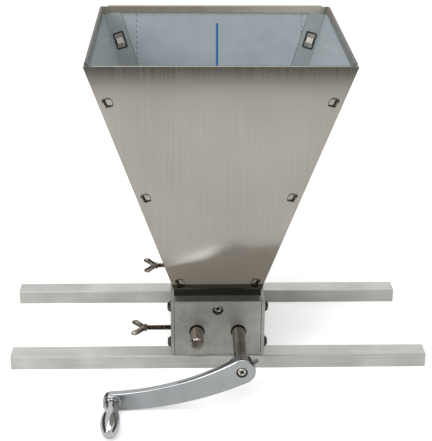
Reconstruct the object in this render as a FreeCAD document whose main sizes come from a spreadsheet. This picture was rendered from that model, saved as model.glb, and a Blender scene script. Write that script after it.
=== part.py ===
import FreeCAD, Part
import os
import Sketcher
from FreeCAD import Placement, Rotation, Vector

# Two-roller grain mill: a sheet-metal hopper over a box of plates that stands on two rails.
# The crank turns the right-hand roller. The left-hand roller turns in eccentric adjusters,
# which set the gap between the rollers and are locked by wing bolts.
# Frame: X along the rails, Y away from the crank, Z up, origin on the ground under the
# middle of the box. All sizes are in millimetres and degrees.

# Every size that can be set by itself: name, value, meaning.
DRIVING = [
    ("rail_length", 400, "length of a base rail"),
    ("rail_depth", 19, "rail section along Y"),
    ("rail_height", 14, "rail section along Z"),
    ("rail_edge_break", 0.8, "chamfer along the rail's upper edges"),
    ("rail_stand_out", 1, "rail's outer face in front of the plate's face"),
    ("front_rail_shift", 1.5, "middle of the front rail along X"),
    ("rear_rail_shift", -7.5, "middle of the rear rail along X"),
    ("body_depth", 145, "over the outer faces of the end plates"),
    ("plate_width", 83, "end plate along X"),
    ("plate_height", 59, "end plate along Z"),
    ("plate_thickness", 12, "end plate along Y"),
    ("plate_edge_break", 0.6, "chamfer round the end plate's outer face"),
    ("side_plate_thickness", 3, "side plate along X"),
    ("shaft_spacing", 39.6, "between the two roller axes"),
    ("shaft_rise", 26.3, "roller axes above the foot of the plates"),
    ("shaft_diameter", 12.7, "drive shaft, roller cores and adjuster stubs"),
    ("shaft_hole_diameter", 15, "clearance hole in an end plate's outer skin"),
    ("shaft_rear_setback", 2, "drive shaft's rear end inside the rear plate's face"),
    ("roller_diameter", 38, "over the crests of the flutes"),
    ("roller_end_gap", 0.5, "between a roller and an end plate"),
    ("flute_count", 36, "grooves round a roller"),
    ("flute_width", 1.8, "groove width at the roller's surface"),
    ("flute_depth", 1.1, "groove depth"),
    ("seat_depth", 7, "bearing seat from the inside of an end plate"),
    ("bush_diameter", 20, "outside of a drive bush"),
    ("adjuster_diameter", 20, "disc of an eccentric adjuster"),
    ("eccentricity", 1, "idle roller's axis below the adjuster's axis"),
    ("stub_stand_out", 23.4, "adjuster stub in front of the plate"),
    ("stub_chamfer", 1.2, "on the end of a stub"),
    ("journal_diameter", 10, "idle shaft's ends"),
    ("journal_reach", 6, "of a journal into its adjuster"),
    ("run_clearance", 0.05, "radial, where something turns"),
    ("seat_clearance", 0.05, "radial, where something is fixed"),
    ("thrust_gap", 0.1, "axial, where something turns"),
    ("pass_clearance", 0.3, "radial, where a screw passes through"),
    ("side_screw_diameter", 6, "shank of a side plate screw"),
    ("side_screw_head", 10.5, "head diameter of a side plate screw"),
    ("side_screw_head_height", 3.3, "button head"),
    ("side_screw_brim", 0.5, "straight rim of the button head"),
    ("side_screw_crown", 6.4, "flat top of the button head"),
    ("side_screw_reach", 14, "of the shank into an end plate"),
    ("side_screw_drop", 8, "upper screws below the plate's top"),
    ("side_screw_rise", 12, "lower screws above the plate's foot"),
    ("rail_screw_diameter", 5, "shank of a rail screw"),
    ("rail_screw_head", 8.5, "head diameter of a rail screw"),
    ("rail_screw_head_height", 5, "cylinder head"),
    ("rail_screw_sink", 5.6, "counterbore in a rail's underside"),
    ("rail_screw_reach", 11, "of the shank into an end plate"),
    ("rail_screw_spacing", 24, "between the two screws of a rail"),
    ("wing_rod_diameter", 5, "rod of a wing bolt"),
    ("wing_rod_length", 30, "from the tip to the boss"),
    ("wing_rod_chamfer", 0.6, "at the tip"),
    ("wing_tip_gap", 0.3, "rear bolt's tip to the adjuster"),
    ("front_wing_backed_off", 7.4, "front bolt stands loosened by this much"),
    ("front_wing_angle", -85, "front wings about the rod"),
    ("rear_wing_angle", 24, "rear wings about the rod"),
    ("wing_boss_diameter", 8, "boss at the wings"),
    ("wing_boss_neck", 6.4, "boss at the rod"),
    ("wing_boss_length", 6, "along the rod"),
    ("wing_root_radius", 1.2, "wing's root above the axis"),
    ("wing_root_start", 0.6, "wing's root from the boss's neck"),
    ("wing_root_width", 5.2, "wing's root along the rod"),
    ("wing_tip_start", 8.6, "wing's tip from the boss's neck"),
    ("wing_tip_width", 4.6, "wing's tip along the rod"),
    ("wing_shoulder_reach", 11.4, "tip's corner nearer to the rod, above the axis"),
    ("wing_end_reach", 9.2, "tip's farther corner, above the axis"),
    ("wing_thickness", 2.8, "across a wing"),
    ("wing_tip_round", 1.9, "rounding of a tip"),
    ("sheet", 1, "hopper sheet"),
    ("sheet_gap", 0.1, "between lapped sheets"),
    ("trim_margin", 7, "cut beyond the edge of a sheet"),
    ("hopper_top_width", 228, "over the rim along X"),
    ("hopper_top_depth", 203.6, "over the rim along Y"),
    ("hopper_rim_height", 238, "rim above the plates' top"),
    ("front_fold_height", 12.2, "front and rear folds above the plates' top"),
    ("side_fold_height", 3.7, "side folds above the plates' top"),
    ("spigot_clearance", 0.5, "between the hopper's spigot and the box"),
    ("spigot_reach", 12, "front and rear spigot walls below the plates' top"),
    ("side_spigot_reach", 10, "side spigot walls below the plates' top"),
    ("hem_height", 7, "folded rim"),
    ("hem_gap", 0.3, "inside the folded rim"),
    ("hem_end_gap", 8, "between the end of a hem and the corner"),
    ("flange_width", 18, "side panel's corner flange"),
    ("flange_top_gap", 10, "below the rim, along the corner"),
    ("flange_foot_gap", 9, "below the front fold, along the corner"),
    ("flange_round", 5, "upper free corner of a flange"),
    ("tab_inset", 8, "middle of a tab slot from the corner"),
    ("tab_row_start", -1.2, "lowest tab above the front fold, along the corner"),
    ("tab_row_spacing", 101.4, "between tabs along the corner"),
    ("tab_row_count", 3, "tabs along a corner"),
    ("tab_slot_width", 8, "slot that a tab is cut from, across the corner"),
    ("tab_slot_height", 10.5, "slot along the corner"),
    ("tab_slot_round", 2.6, "slot's corners"),
    ("tab_length", 7.3, "tab from its root to its tip"),
    ("tab_height", 5.6, "tab along the corner"),
    ("tab_tilt", 18, "tab pressed in from the panel"),
    ("tab_root", 0.5, "tab's hold in the sheet"),
    ("tab_setback", 0.1, "tab's bend behind the slot's edge"),
    ("tab_relief", 0.05, "tab's faces inside the sheet's faces"),
    ("flange_window_width", 7.7, "window in the flange for a tab"),
    ("flange_window_height", 6.2, "window along the corner"),
    ("flange_window_clearance", 0.35, "between a tab's tip and its window"),
    ("hopper_screw_drop", 9.4, "hopper screws below the plates' top"),
    ("pan_screw_diameter", 4, "shank of a hopper or crank screw"),
    ("pan_screw_head", 8, "head diameter"),
    ("pan_screw_head_height", 2.6, "head height"),
    ("pan_screw_crown", 0.5, "chamfer of the head"),
    ("pan_sink_diameter", 10.4, "counterbore round the head"),
    ("hopper_sink_depth", 5, "counterbore in an end plate"),
    ("hopper_nut_diameter", 8, "clinch nut on the spigot"),
    ("hopper_nut_length", 4, "clinch nut"),
    ("crank_stand_out", 71, "crank's face in front of the plate's face"),
    ("crank_radius", 121, "shaft to grip"),
    ("hub_diameter", 25, "crank's hub"),
    ("hub_thickness", 11, "crank's hub along Y"),
    ("arm_end_diameter", 17, "crank's small end"),
    ("arm_thickness", 7, "crank's arm along Y"),
    ("arm_upper_radius", 240, "hollow edge of the arm"),
    ("arm_lower_radius", 280, "full edge of the arm"),
    ("arm_edge_round", 1.4, "rounding of the arm's face"),
    ("crank_sink_depth", 3, "counterbore for the crank screw"),
    ("crank_web", 2, "between the screw's seat and the shaft's end"),
    ("crank_screw_reach", 10, "of the crank screw into the shaft"),
    ("set_screw_diameter", 4, "headless screw in the hub"),
    ("set_screw_stand_out", 4.5, "of the set screw from the hub"),
    ("set_screw_setback", 7, "of the set screw behind the crank's face"),
    ("set_screw_angle", 31, "of the set screw above the ground plane"),
    ("grip_boss_diameter", 15.6, "boss in front of the small end"),
    ("grip_boss_length", 5.5, "boss in front of the arm's face"),
    ("grip_end_gap", 0.3, "between the boss and the grip"),
    ("grip_length", 44, "revolving grip"),
    ("grip_neck_diameter", 12.8, "grip beside the boss"),
    ("grip_bulb_diameter", 17.6, "grip at its widest"),
    ("grip_bulb_position", 24, "widest place from the grip's neck end"),
    ("grip_barrel_radius", 55, "long curve of the grip"),
    ("grip_neck_curve", 20, "hollow curve behind the bulb"),
    ("grip_pin_diameter", 6, "pin that the grip turns on"),
    ("grip_pin_reach", 30, "of the pin into the grip"),
    ("table_gap", 0.3, "between the resting grip and the ground"),
]

# Places and lengths that follow from the sizes.
WORKED = [
    ("plate_top", "=dim.rail_height + dim.plate_height", "height of the plates' top"),
    ("plate_face", "=dim.body_depth / 2", "outer face of an end plate"),
    ("plate_inner", "=dim.body_depth / 2 - dim.plate_thickness", "inner face of an end plate"),
    ("plate_mid", "=dim.body_depth / 2 - dim.plate_thickness / 2", "middle of an end plate"),
    ("rail_face", "=dim.body_depth / 2 + dim.rail_stand_out", "outer face of a rail"),
    ("side_inner", "=dim.plate_width / 2", "inner face of a side plate"),
    ("side_face", "=dim.plate_width / 2 + dim.side_plate_thickness", "outer face of a side plate"),
    ("shaft_x", "=dim.shaft_spacing / 2", "roller axes beside the middle"),
    ("shaft_z", "=dim.rail_height + dim.shaft_rise", "height of the roller axes"),
    ("seat_floor", "=plate_inner + dim.seat_depth", "bottom of a bearing seat"),
    ("wing_y", "=plate_inner + dim.seat_depth / 2", "wing bolt beside the middle"),
    ("roller_half", "=plate_inner - dim.roller_end_gap", "half a roller's length"),
    ("side_screw_top", "=plate_top - dim.side_screw_drop", "height of the upper side screws"),
    ("side_screw_low", "=dim.rail_height + dim.side_screw_rise", "height of the lower side screws"),
    ("rear_wing_out", "=dim.wing_rod_length + dim.wing_tip_gap + shaft_x + dim.adjuster_diameter / 2"
                      " - side_face", "rear rod outside the side plate"),
    ("front_wing_out", "=rear_wing_out + dim.front_wing_backed_off", "front rod outside the side plate"),
    ("rim_z", "=plate_top + dim.hopper_rim_height", "height of the rim"),
    ("front_fold_z", "=plate_top + dim.front_fold_height", "height of the front fold"),
    ("side_fold_z", "=plate_top + dim.side_fold_height", "height of the side fold"),
    ("throat_y", "=plate_inner - dim.spigot_clearance", "spigot's outside along Y"),
    ("throat_x", "=side_inner - dim.spigot_clearance", "spigot's outside along X"),
    ("front_run", "=dim.hopper_top_depth / 2 - throat_y", "front panel's lean over its height"),
    ("side_run", "=dim.hopper_top_width / 2 - throat_x", "side panel's lean over its height"),
    ("front_lean", "=atan(front_run / (rim_z - front_fold_z)) / 1 deg", "front panel from upright"),
    ("side_lean", "=atan(side_run / (rim_z - side_fold_z)) / 1 deg", "side panel from upright"),
    ("front_slope", "=sqrt(front_run ^ 2 + (rim_z - front_fold_z) ^ 2)", "front panel above its fold"),
    ("side_slope", "=sqrt(side_run ^ 2 + (rim_z - side_fold_z) ^ 2)", "side panel above its fold"),
    ("fold_step", "=front_fold_z - side_fold_z", "front fold above the side fold"),
    ("fold_x", "=throat_x + fold_step * tan(side_lean)", "corner at the front fold"),
    ("corner_lean", "=atan((dim.hopper_top_width / 2 - fold_x) / front_slope) / 1 deg",
     "corner from upright, in the front panel"),
    ("front_spigot", "=dim.front_fold_height + dim.spigot_reach", "front spigot wall"),
    ("side_spigot", "=dim.side_fold_height + dim.side_spigot_reach", "side spigot wall"),
    ("lap", "=(dim.sheet + dim.sheet_gap) / cos(front_lean)", "side panel's edge inside the front"),
    ("side_step", "=fold_step / cos(side_lean)", "front fold along the side panel"),
    ("side_low_y", "=throat_y - dim.sheet - dim.sheet_gap", "side panel's half depth at its foot"),
    ("side_top_y", "=dim.hopper_top_depth / 2 - lap", "side panel's half depth at the rim"),
    ("flange_lean", "=atan((side_top_y - side_low_y) / (side_slope - side_step)) / 1 deg",
     "corner from upright, in the side panel"),
    ("corner_angle", "=90 + asin(sin(front_lean) * sin(side_lean)) / 1 deg", "bend of a flange"),
    ("flange_length", "=(side_slope - side_step) / cos(flange_lean) - dim.flange_top_gap"
                      " + dim.flange_foot_gap", "flange along the corner"),
    ("tab_root_inset", "=dim.tab_inset + dim.tab_slot_width / 2 + dim.tab_setback",
     "tab's bend from the corner"),
    ("tab_tip_inset", "=tab_root_inset - dim.tab_length * cos(dim.tab_tilt)", "tab's tip from the corner"),
    ("hem_radius", "=dim.sheet + dim.hem_gap / 2", "round of the folded rim"),
    ("hopper_screw_z", "=plate_top - dim.hopper_screw_drop", "height of the hopper screws"),
    ("pan_shank_out", "=dim.plate_thickness - dim.hopper_sink_depth + dim.spigot_clearance"
                      " + dim.sheet + dim.hopper_nut_length", "hopper screw under its head"),
    ("crank_y", "=plate_face + dim.crank_stand_out", "crank's face"),
    ("shaft_front", "=crank_y - dim.crank_sink_depth - dim.crank_web", "drive shaft's front end"),
    ("shaft_rear", "=plate_face - dim.shaft_rear_setback", "drive shaft's rear end"),
    ("grip_z", "=dim.grip_bulb_diameter / 2 + dim.table_gap", "grip's axis above the ground"),
    ("crank_droop", "=asin((shaft_z - grip_z) / dim.crank_radius) / 1 deg", "crank at rest"),
    ("grip_x", "=shaft_x - dim.crank_radius * cos(crank_droop)", "grip's axis along X"),
    ("grip_y", "=crank_y + dim.grip_boss_length + dim.grip_end_gap", "neck end of the grip"),
]

FULL_TURN = 360
HALF_TURN = 180
X_AXIS = Vector(1, 0, 0)
Y_AXIS = Vector(0, 1, 0)
Z_AXIS = Vector(0, 0, 1)
NEAR = 1e-4
LEAST_SHARE = 0.5

doc = FreeCAD.newDocument("grain_mill")
nodes = []


# A sheet of named values, with the meaning of each beside it.
def add_sheet(name, rows):
    sheet = doc.addObject("Spreadsheet::Sheet", name)
    for row, (alias, content, meaning) in enumerate(rows, start=1):
        sheet.set(f"A{row}", meaning)
        sheet.set(f"B{row}", str(content))
        sheet.setAlias(f"B{row}", alias)
    return sheet


dim = add_sheet("dim", DRIVING)
at = add_sheet("at", WORKED)
doc.recompute()


def value(expression):
    return float(dim.evalExpression(expression))


def bind(item, bindings):
    for path, expression in bindings.items():
        item.setExpression(path, expression)


def add_body(label, keep=True):
    body = doc.addObject("PartDesign::Body", label)
    body.Label = label
    if keep:
        nodes.append(body)
    return body


# Puts a finished piece at its place, turned about one axis.
def place(item, x="0", y="0", z="0", axis=Z_AXIS, angle="0"):
    item.Placement = Placement(Vector(), Rotation(axis, value(angle)))
    bind(item, {
        "Placement.Base.x": x,
        "Placement.Base.y": y,
        "Placement.Base.z": z,
        "Placement.Rotation.Angle": angle,
    })


def add_sketch(body, plane, name, x="0", y="0", z="0", axis=Z_AXIS, angle="0"):
    sketch = body.newObject("Sketcher::SketchObject", name)
    support = next(item for item in body.Origin.OriginFeatures if item.Role == plane)
    sketch.AttachmentSupport = [(support, "")]
    sketch.MapMode = "FlatFace"
    sketch.AttachmentOffset = Placement(Vector(), Rotation(axis, value(angle)))
    bind(sketch, {
        "AttachmentOffset.Base.x": x,
        "AttachmentOffset.Base.y": y,
        "AttachmentOffset.Base.z": z,
        "AttachmentOffset.Rotation.Angle": angle,
    })
    return sketch


def constrain(sketch, expression, *parts):
    index = sketch.addConstraint(Sketcher.Constraint(*parts, value(expression)))
    sketch.setExpression(f"Constraints[{index}]", expression)


# Holds a point of the sketch at a distance from its origin. Points 1 and 2 are a curve's ends
# and point 3 its centre.
def fix_point(sketch, curve, point, x, y):
    constrain(sketch, x, "DistanceX", -1, 1, curve, point)
    constrain(sketch, y, "DistanceY", -1, 1, curve, point)


# A closed outline. A corner is (x, y), or (x, y, radius, bulge) where an arc runs on from it:
# a bulge of 1 leaves to the right of the way to the next corner, -1 to the left.
def outline(sketch, corners):
    first = sketch.GeometryCount
    spots = [Vector(value(corner[0]), value(corner[1]), 0) for corner in corners]
    ends = spots[1:] + spots[:1]
    for corner, start, end in zip(corners, spots, ends):
        if len(corner) == 2:
            sketch.addGeometry(Part.LineSegment(start, end))
            continue
        radius = value(corner[2])
        half = (end - start) * 0.5
        rise = radius - max(radius ** 2 - half.Length ** 2, 0) ** 0.5
        side = Vector(half.y, -half.x, 0).normalize() * rise * corner[3]
        sketch.addGeometry(Part.Arc(start, start + half + side, end))
    count = len(corners)
    for index, corner in enumerate(corners):
        curve = first + index
        follower = first + (index + 1) % count
        # An arc's ends are stored anticlockwise.
        tail = 1 if len(corner) == 4 and corner[3] < 0 else 2
        lead = corners[(index + 1) % count]
        head = 2 if len(lead) == 4 and lead[3] < 0 else 1
        sketch.addConstraint(Sketcher.Constraint("Coincident", curve, tail, follower, head))
        own = 2 if tail == 1 else 1
        fix_point(sketch, curve, own, corner[0], corner[1])
        if len(corner) == 4:
            constrain(sketch, corner[2], "Radius", curve)


def rectangle(sketch, left, bottom, right, top):
    outline(sketch, [(left, bottom), (right, bottom), (right, top), (left, top)])


def circle(sketch, x, y, diameter):
    curve = sketch.addGeometry(Part.Circle(Vector(value(x), value(y), 0), Z_AXIS, value(diameter) / 2))
    fix_point(sketch, curve, 3, x, y)
    constrain(sketch, diameter, "Diameter", curve)


def pad(body, sketch, name, length, both=False, back=False):
    feature = body.newObject("PartDesign::Pad", name)
    feature.Profile = sketch
    feature.SideType = "Symmetric" if both else "One side"
    feature.Reversed = back
    feature.setExpression("Length", length)
    return feature


# Cuts a sketch into the body, and makes sure that something was cut.
def pocket(body, sketch, name, length=None, back=False):
    doc.recompute()
    before = body.Shape.Volume
    feature = body.newObject("PartDesign::Pocket", name)
    feature.Profile = sketch
    feature.Reversed = back
    if length is None:
        feature.Type = "ThroughAll"
        feature.SideType = "Symmetric"
    else:
        feature.setExpression("Length", length)
    doc.recompute()
    if not body.Shape.Volume < before:
        raise ValueError(f"{name} cuts nothing from {body.Label}")
    return feature


def revolve(body, sketch, name, axis):
    feature = body.newObject("PartDesign::Revolution", name)
    feature.Profile = sketch
    feature.ReferenceAxis = (sketch, [axis])
    feature.Angle = FULL_TURN
    return feature


# Repeats a cut along the normal or the upright axis of its sketch, and makes sure that each copy cuts.
def repeat(body, feature, sketch, name, axis, spacing, count):
    pattern = body.newObject("PartDesign::LinearPattern", name)
    pattern.Originals = [feature]
    pattern.Direction = (sketch, [axis])
    bind(pattern, {"Length": f"{spacing} * ({count} - 1)", "Occurrences": count})
    body.Tip = pattern
    doc.recompute()
    whole = feature.BaseFeature.Shape.Volume
    first = whole - feature.Shape.Volume
    if whole - body.Shape.Volume < first * (value(count) - LEAST_SHARE):
        raise ValueError(f"{name} leaves out a cut in {body.Label}")
    return pattern


def treat_edges(body, kind, name, size, wanted):
    doc.recompute()
    base = body.Tip
    edges = [f"Edge{index}" for index, edge in enumerate(base.Shape.Edges, start=1) if wanted(edge)]
    feature = body.newObject(kind, name)
    feature.Base = (base, edges)
    feature.setExpression("Radius" if kind.endswith("Fillet") else "Size", size)
    return feature


def mirror(source, label, normal):
    copy = doc.addObject("Part::Mirroring", label)
    copy.Label = label
    copy.Source = source
    copy.Normal = normal
    nodes.append(copy)
    return copy


# Several alike pieces as one node: each place is (x, y, z, axis, angle).
def group(master, label, places):
    links = []
    for number, (x, y, z, axis, angle) in enumerate(places, start=1):
        link = doc.addObject("App::Link", f"{label}_{number}")
        link.LinkedObject = master
        link.LinkTransform = False
        place(link, x, y, z, axis, angle)
        links.append(link)
    compound = doc.addObject("Part::Compound", label)
    compound.Label = label
    compound.Links = links
    nodes.append(compound)


# A base rail of bar, counterbored from below for the screws that hold it to its end plate.
def make_rail(label, shift, side):
    body = add_body(label)
    section = add_sketch(body, "YZ_Plane", f"{label}_section", z=shift)
    outer = f"{side} * at.rail_face"
    inner = f"{side} * (at.rail_face - dim.rail_depth)"
    rectangle(section, min(outer, inner, key=value), "0", max(outer, inner, key=value), "dim.rail_height")
    pad(body, section, f"{label}_bar", "dim.rail_length", both=True)
    upper = value("dim.rail_height")

    def along_top(edge):
        box = edge.BoundBox
        return box.ZMin > upper - NEAR and box.XLength > value("dim.rail_length") - NEAR

    treat_edges(body, "PartDesign::Chamfer", f"{label}_edges", "dim.rail_edge_break", along_top)
    sinks = add_sketch(body, "XY_Plane", f"{label}_sinks")
    passes = add_sketch(body, "XY_Plane", f"{label}_passes")
    for end in (-1, 1):
        x = f"{end} * dim.rail_screw_spacing / 2"
        y = f"{side} * at.plate_mid"
        circle(sinks, x, y, "dim.rail_screw_head + 2 * dim.pass_clearance")
        circle(passes, x, y, "dim.rail_screw_diameter + 2 * dim.pass_clearance")
    pocket(body, sinks, f"{label}_counterbores", "dim.rail_screw_sink", back=True)
    pocket(body, passes, f"{label}_holes", "dim.rail_height", back=True)


# An end plate: shaft holes, bearing seats on the inside, and the holes for every screw.
def make_end_plates():
    body = add_body("front_plate")
    face = add_sketch(body, "XZ_Plane", "plate_outline", z="at.plate_face")
    rectangle(face, "-at.side_inner", "dim.rail_height", "at.side_inner", "at.plate_top")
    pad(body, face, "plate_slab", "dim.plate_thickness", back=True)
    front = -value("at.plate_face")
    treat_edges(body, "PartDesign::Chamfer", "plate_edges", "dim.plate_edge_break",
                lambda edge: edge.BoundBox.YMax < front + NEAR)

    holes = add_sketch(body, "XZ_Plane", "shaft_hole_places", z="at.plate_face")
    seats = add_sketch(body, "XZ_Plane", "bearing_seat_places", z="at.plate_inner")
    for side in (-1, 1):
        circle(holes, f"{side} * at.shaft_x", "at.shaft_z", "dim.shaft_hole_diameter")
    circle(seats, "-at.shaft_x", "at.shaft_z", "dim.adjuster_diameter + 2 * dim.run_clearance")
    circle(seats, "at.shaft_x", "at.shaft_z", "dim.bush_diameter + 2 * dim.seat_clearance")
    pocket(body, holes, "shaft_holes", "dim.plate_thickness")
    pocket(body, seats, "bearing_seats", "dim.seat_depth", back=True)

    sink = add_sketch(body, "XZ_Plane", "hopper_sink_place", z="at.plate_face")
    circle(sink, "0", "at.hopper_screw_z", "dim.pan_sink_diameter")
    pocket(body, sink, "hopper_sink", "dim.hopper_sink_depth")
    way = add_sketch(body, "XZ_Plane", "hopper_hole_place", z="at.plate_face")
    circle(way, "0", "at.hopper_screw_z", "dim.pan_screw_diameter + 2 * dim.pass_clearance")
    pocket(body, way, "hopper_hole", "dim.plate_thickness")

    for side, name in ((-1, "left"), (1, "right")):
        edge = add_sketch(body, "YZ_Plane", f"{name}_screw_places", z=f"{side} * at.side_inner")
        for height in ("at.side_screw_top", "at.side_screw_low"):
            circle(edge, "-at.plate_mid", height, "dim.side_screw_diameter + 2 * dim.seat_clearance")
        pocket(body, edge, f"{name}_screw_holes", "dim.side_screw_reach", back=side < 0)
    lock = add_sketch(body, "YZ_Plane", "wing_bolt_place", z="-at.side_inner")
    circle(lock, "-at.wing_y", "at.shaft_z", "dim.wing_rod_diameter + 2 * dim.run_clearance")
    pocket(body, lock, "wing_bolt_hole", "at.side_inner - at.shaft_x", back=True)
    foot = add_sketch(body, "XY_Plane", "rail_screw_places", z="dim.rail_height")
    for end in (-1, 1):
        circle(foot, f"{end} * dim.rail_screw_spacing / 2", "-at.plate_mid",
               "dim.rail_screw_diameter + 2 * dim.seat_clearance")
    pocket(body, foot, "rail_screw_holes", "dim.rail_screw_reach", back=True)
    mirror(body, "rear_plate", Y_AXIS)


# A side plate. Only the left one lets the wing bolts through.
def make_side_plate(label, side, has_locks):
    body = add_body(label)
    face = add_sketch(body, "YZ_Plane", f"{label}_outline", z=f"{side} * at.side_inner")
    rectangle(face, "-at.plate_face", "dim.rail_height", "at.plate_face", "at.plate_top")
    pad(body, face, f"{label}_slab", "dim.side_plate_thickness", back=side < 0)
    holes = add_sketch(body, "YZ_Plane", f"{label}_hole_places", z=f"{side} * at.side_inner")
    for end in (-1, 1):
        for height in ("at.side_screw_top", "at.side_screw_low"):
            circle(holes, f"{end} * at.plate_mid", height,
                   "dim.side_screw_diameter + 2 * dim.pass_clearance")
        if has_locks:
            circle(holes, f"{end} * at.wing_y", "at.shaft_z",
                   "dim.wing_rod_diameter + 2 * dim.pass_clearance")
    pocket(body, holes, f"{label}_holes")


# Button-headed screws that hold the side plates to the end plates.
def make_side_screws():
    master = add_body("side_screw", keep=False)
    half = add_sketch(master, "XY_Plane", "side_screw_half")
    outline(half, [
        ("-dim.side_plate_thickness - dim.side_screw_reach", "0"),
        ("dim.side_screw_head_height", "0"),
        ("dim.side_screw_head_height", "dim.side_screw_crown / 2"),
        ("dim.side_screw_brim", "dim.side_screw_head / 2"),
        ("0", "dim.side_screw_head / 2"),
        ("0", "dim.side_screw_diameter / 2"),
        ("-dim.side_plate_thickness - dim.side_screw_reach", "dim.side_screw_diameter / 2"),
    ])
    revolve(master, half, "side_screw_turned", "H_Axis")
    places = []
    for side, turn in ((1, "0"), (-1, str(HALF_TURN))):
        for end in (-1, 1):
            for height in ("at.side_screw_top", "at.side_screw_low"):
                places.append((f"{side} * at.side_face", f"{end} * at.plate_mid", height, Z_AXIS, turn))
    group(master, "side_screws", places)


# Cylinder-headed screws up through the rails.
def make_rail_screws():
    master = add_body("rail_screw", keep=False)
    half = add_sketch(master, "XZ_Plane", "rail_screw_half")
    outline(half, [
        ("0", "-dim.rail_screw_head_height"),
        ("dim.rail_screw_head / 2", "-dim.rail_screw_head_height"),
        ("dim.rail_screw_head / 2", "0"),
        ("dim.rail_screw_diameter / 2", "0"),
        ("dim.rail_screw_diameter / 2", "dim.rail_height - dim.rail_screw_sink + dim.rail_screw_reach"),
        ("0", "dim.rail_height - dim.rail_screw_sink + dim.rail_screw_reach"),
    ])
    revolve(master, half, "rail_screw_turned", "V_Axis")
    group(master, "rail_screws", [
        (f"{end} * dim.rail_screw_spacing / 2", f"{side} * at.plate_mid", "dim.rail_screw_sink", Z_AXIS, "0")
        for side in (-1, 1) for end in (-1, 1)
    ])


# Front and rear hopper panel: a sheet bent at the fold into an upright spigot wall, hemmed at
# the rim and lanced along both corners with tabs that lock the side panels' flanges. It is drawn
# upright, with the fold at the origin and the inside towards +Y, and then leaned out.
def make_front_panel():
    body = add_body("hopper_front")
    profile = add_sketch(body, "YZ_Plane", "panel_profile")
    lean = "at.front_lean"
    outline(profile, [
        ("0", "0"),
        ("0", "at.front_slope - at.hem_radius"),
        ("dim.sheet", "at.front_slope - at.hem_radius"),
        ("dim.sheet", f"-dim.sheet * tan({lean} / 2)"),
        (f"dim.sheet * cos({lean}) - at.front_spigot * sin({lean})",
         f"-dim.sheet * sin({lean}) - at.front_spigot * cos({lean})"),
        (f"-at.front_spigot * sin({lean})", f"-at.front_spigot * cos({lean})"),
    ])
    pad(body, profile, "panel_bend", "dim.hopper_top_width", both=True)

    trim = add_sketch(body, "XZ_Plane", "panel_trim")
    beyond = f"dim.hopper_top_width / 2 + dim.trim_margin"
    below = f"-at.front_spigot - dim.trim_margin"
    above = f"at.front_slope + dim.trim_margin"
    for side in (-1, 1):
        outline(trim, [
            (f"{side} * at.throat_x", below),
            (f"{side} * ({beyond})", below),
            (f"{side} * ({beyond})", above),
            (f"{side} * (dim.hopper_top_width / 2 + dim.trim_margin * tan(at.corner_lean))", above),
            (f"{side} * at.fold_x", "0"),
            (f"{side} * at.throat_x", f"-at.fold_step * cos({lean})"),
        ])
    pocket(body, trim, "panel_corners")
    add_hem(body, "YZ_Plane", "panel", 1, "at.front_slope", "dim.hopper_top_width / 2")
    for side, name in ((-1, "left"), (1, "right")):
        add_tabs(body, side, name)

    way = add_sketch(body, "XZ_Plane", "panel_screw_place")
    circle(way, "0", "(at.hopper_screw_z - at.front_fold_z) * cos(at.front_lean)",
           "dim.pan_screw_diameter + 2 * dim.pass_clearance")
    pocket(body, way, "panel_screw_hole")
    place(body, y="-at.throat_y", z="at.front_fold_z", axis=X_AXIS, angle=lean)
    mirror(body, "hopper_rear", Y_AXIS)


# The rim of a panel: the sheet turned over and down on the inside, short of the corners.
def add_hem(body, plane, name, inward, slope, half_width):
    hem = add_sketch(body, plane, f"{name}_hem_profile")
    shoulder = f"{slope} - at.hem_radius"
    root = f"{slope} - dim.hem_height"
    outline(hem, [
        ("0", root),
        (f"{inward} * dim.sheet", root),
        (f"{inward} * dim.sheet", shoulder),
        (f"{inward} * (dim.sheet + dim.hem_gap)", shoulder),
        (f"{inward} * (dim.sheet + dim.hem_gap)", root),
        (f"{inward} * 2 * at.hem_radius", root),
        (f"{inward} * 2 * at.hem_radius", shoulder, "at.hem_radius", inward),
        (f"{inward} * at.hem_radius", slope, "at.hem_radius", inward),
        ("0", shoulder),
    ])
    pad(body, hem, f"{name}_hem", f"2 * ({half_width} - dim.hem_end_gap)", both=True)


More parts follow.
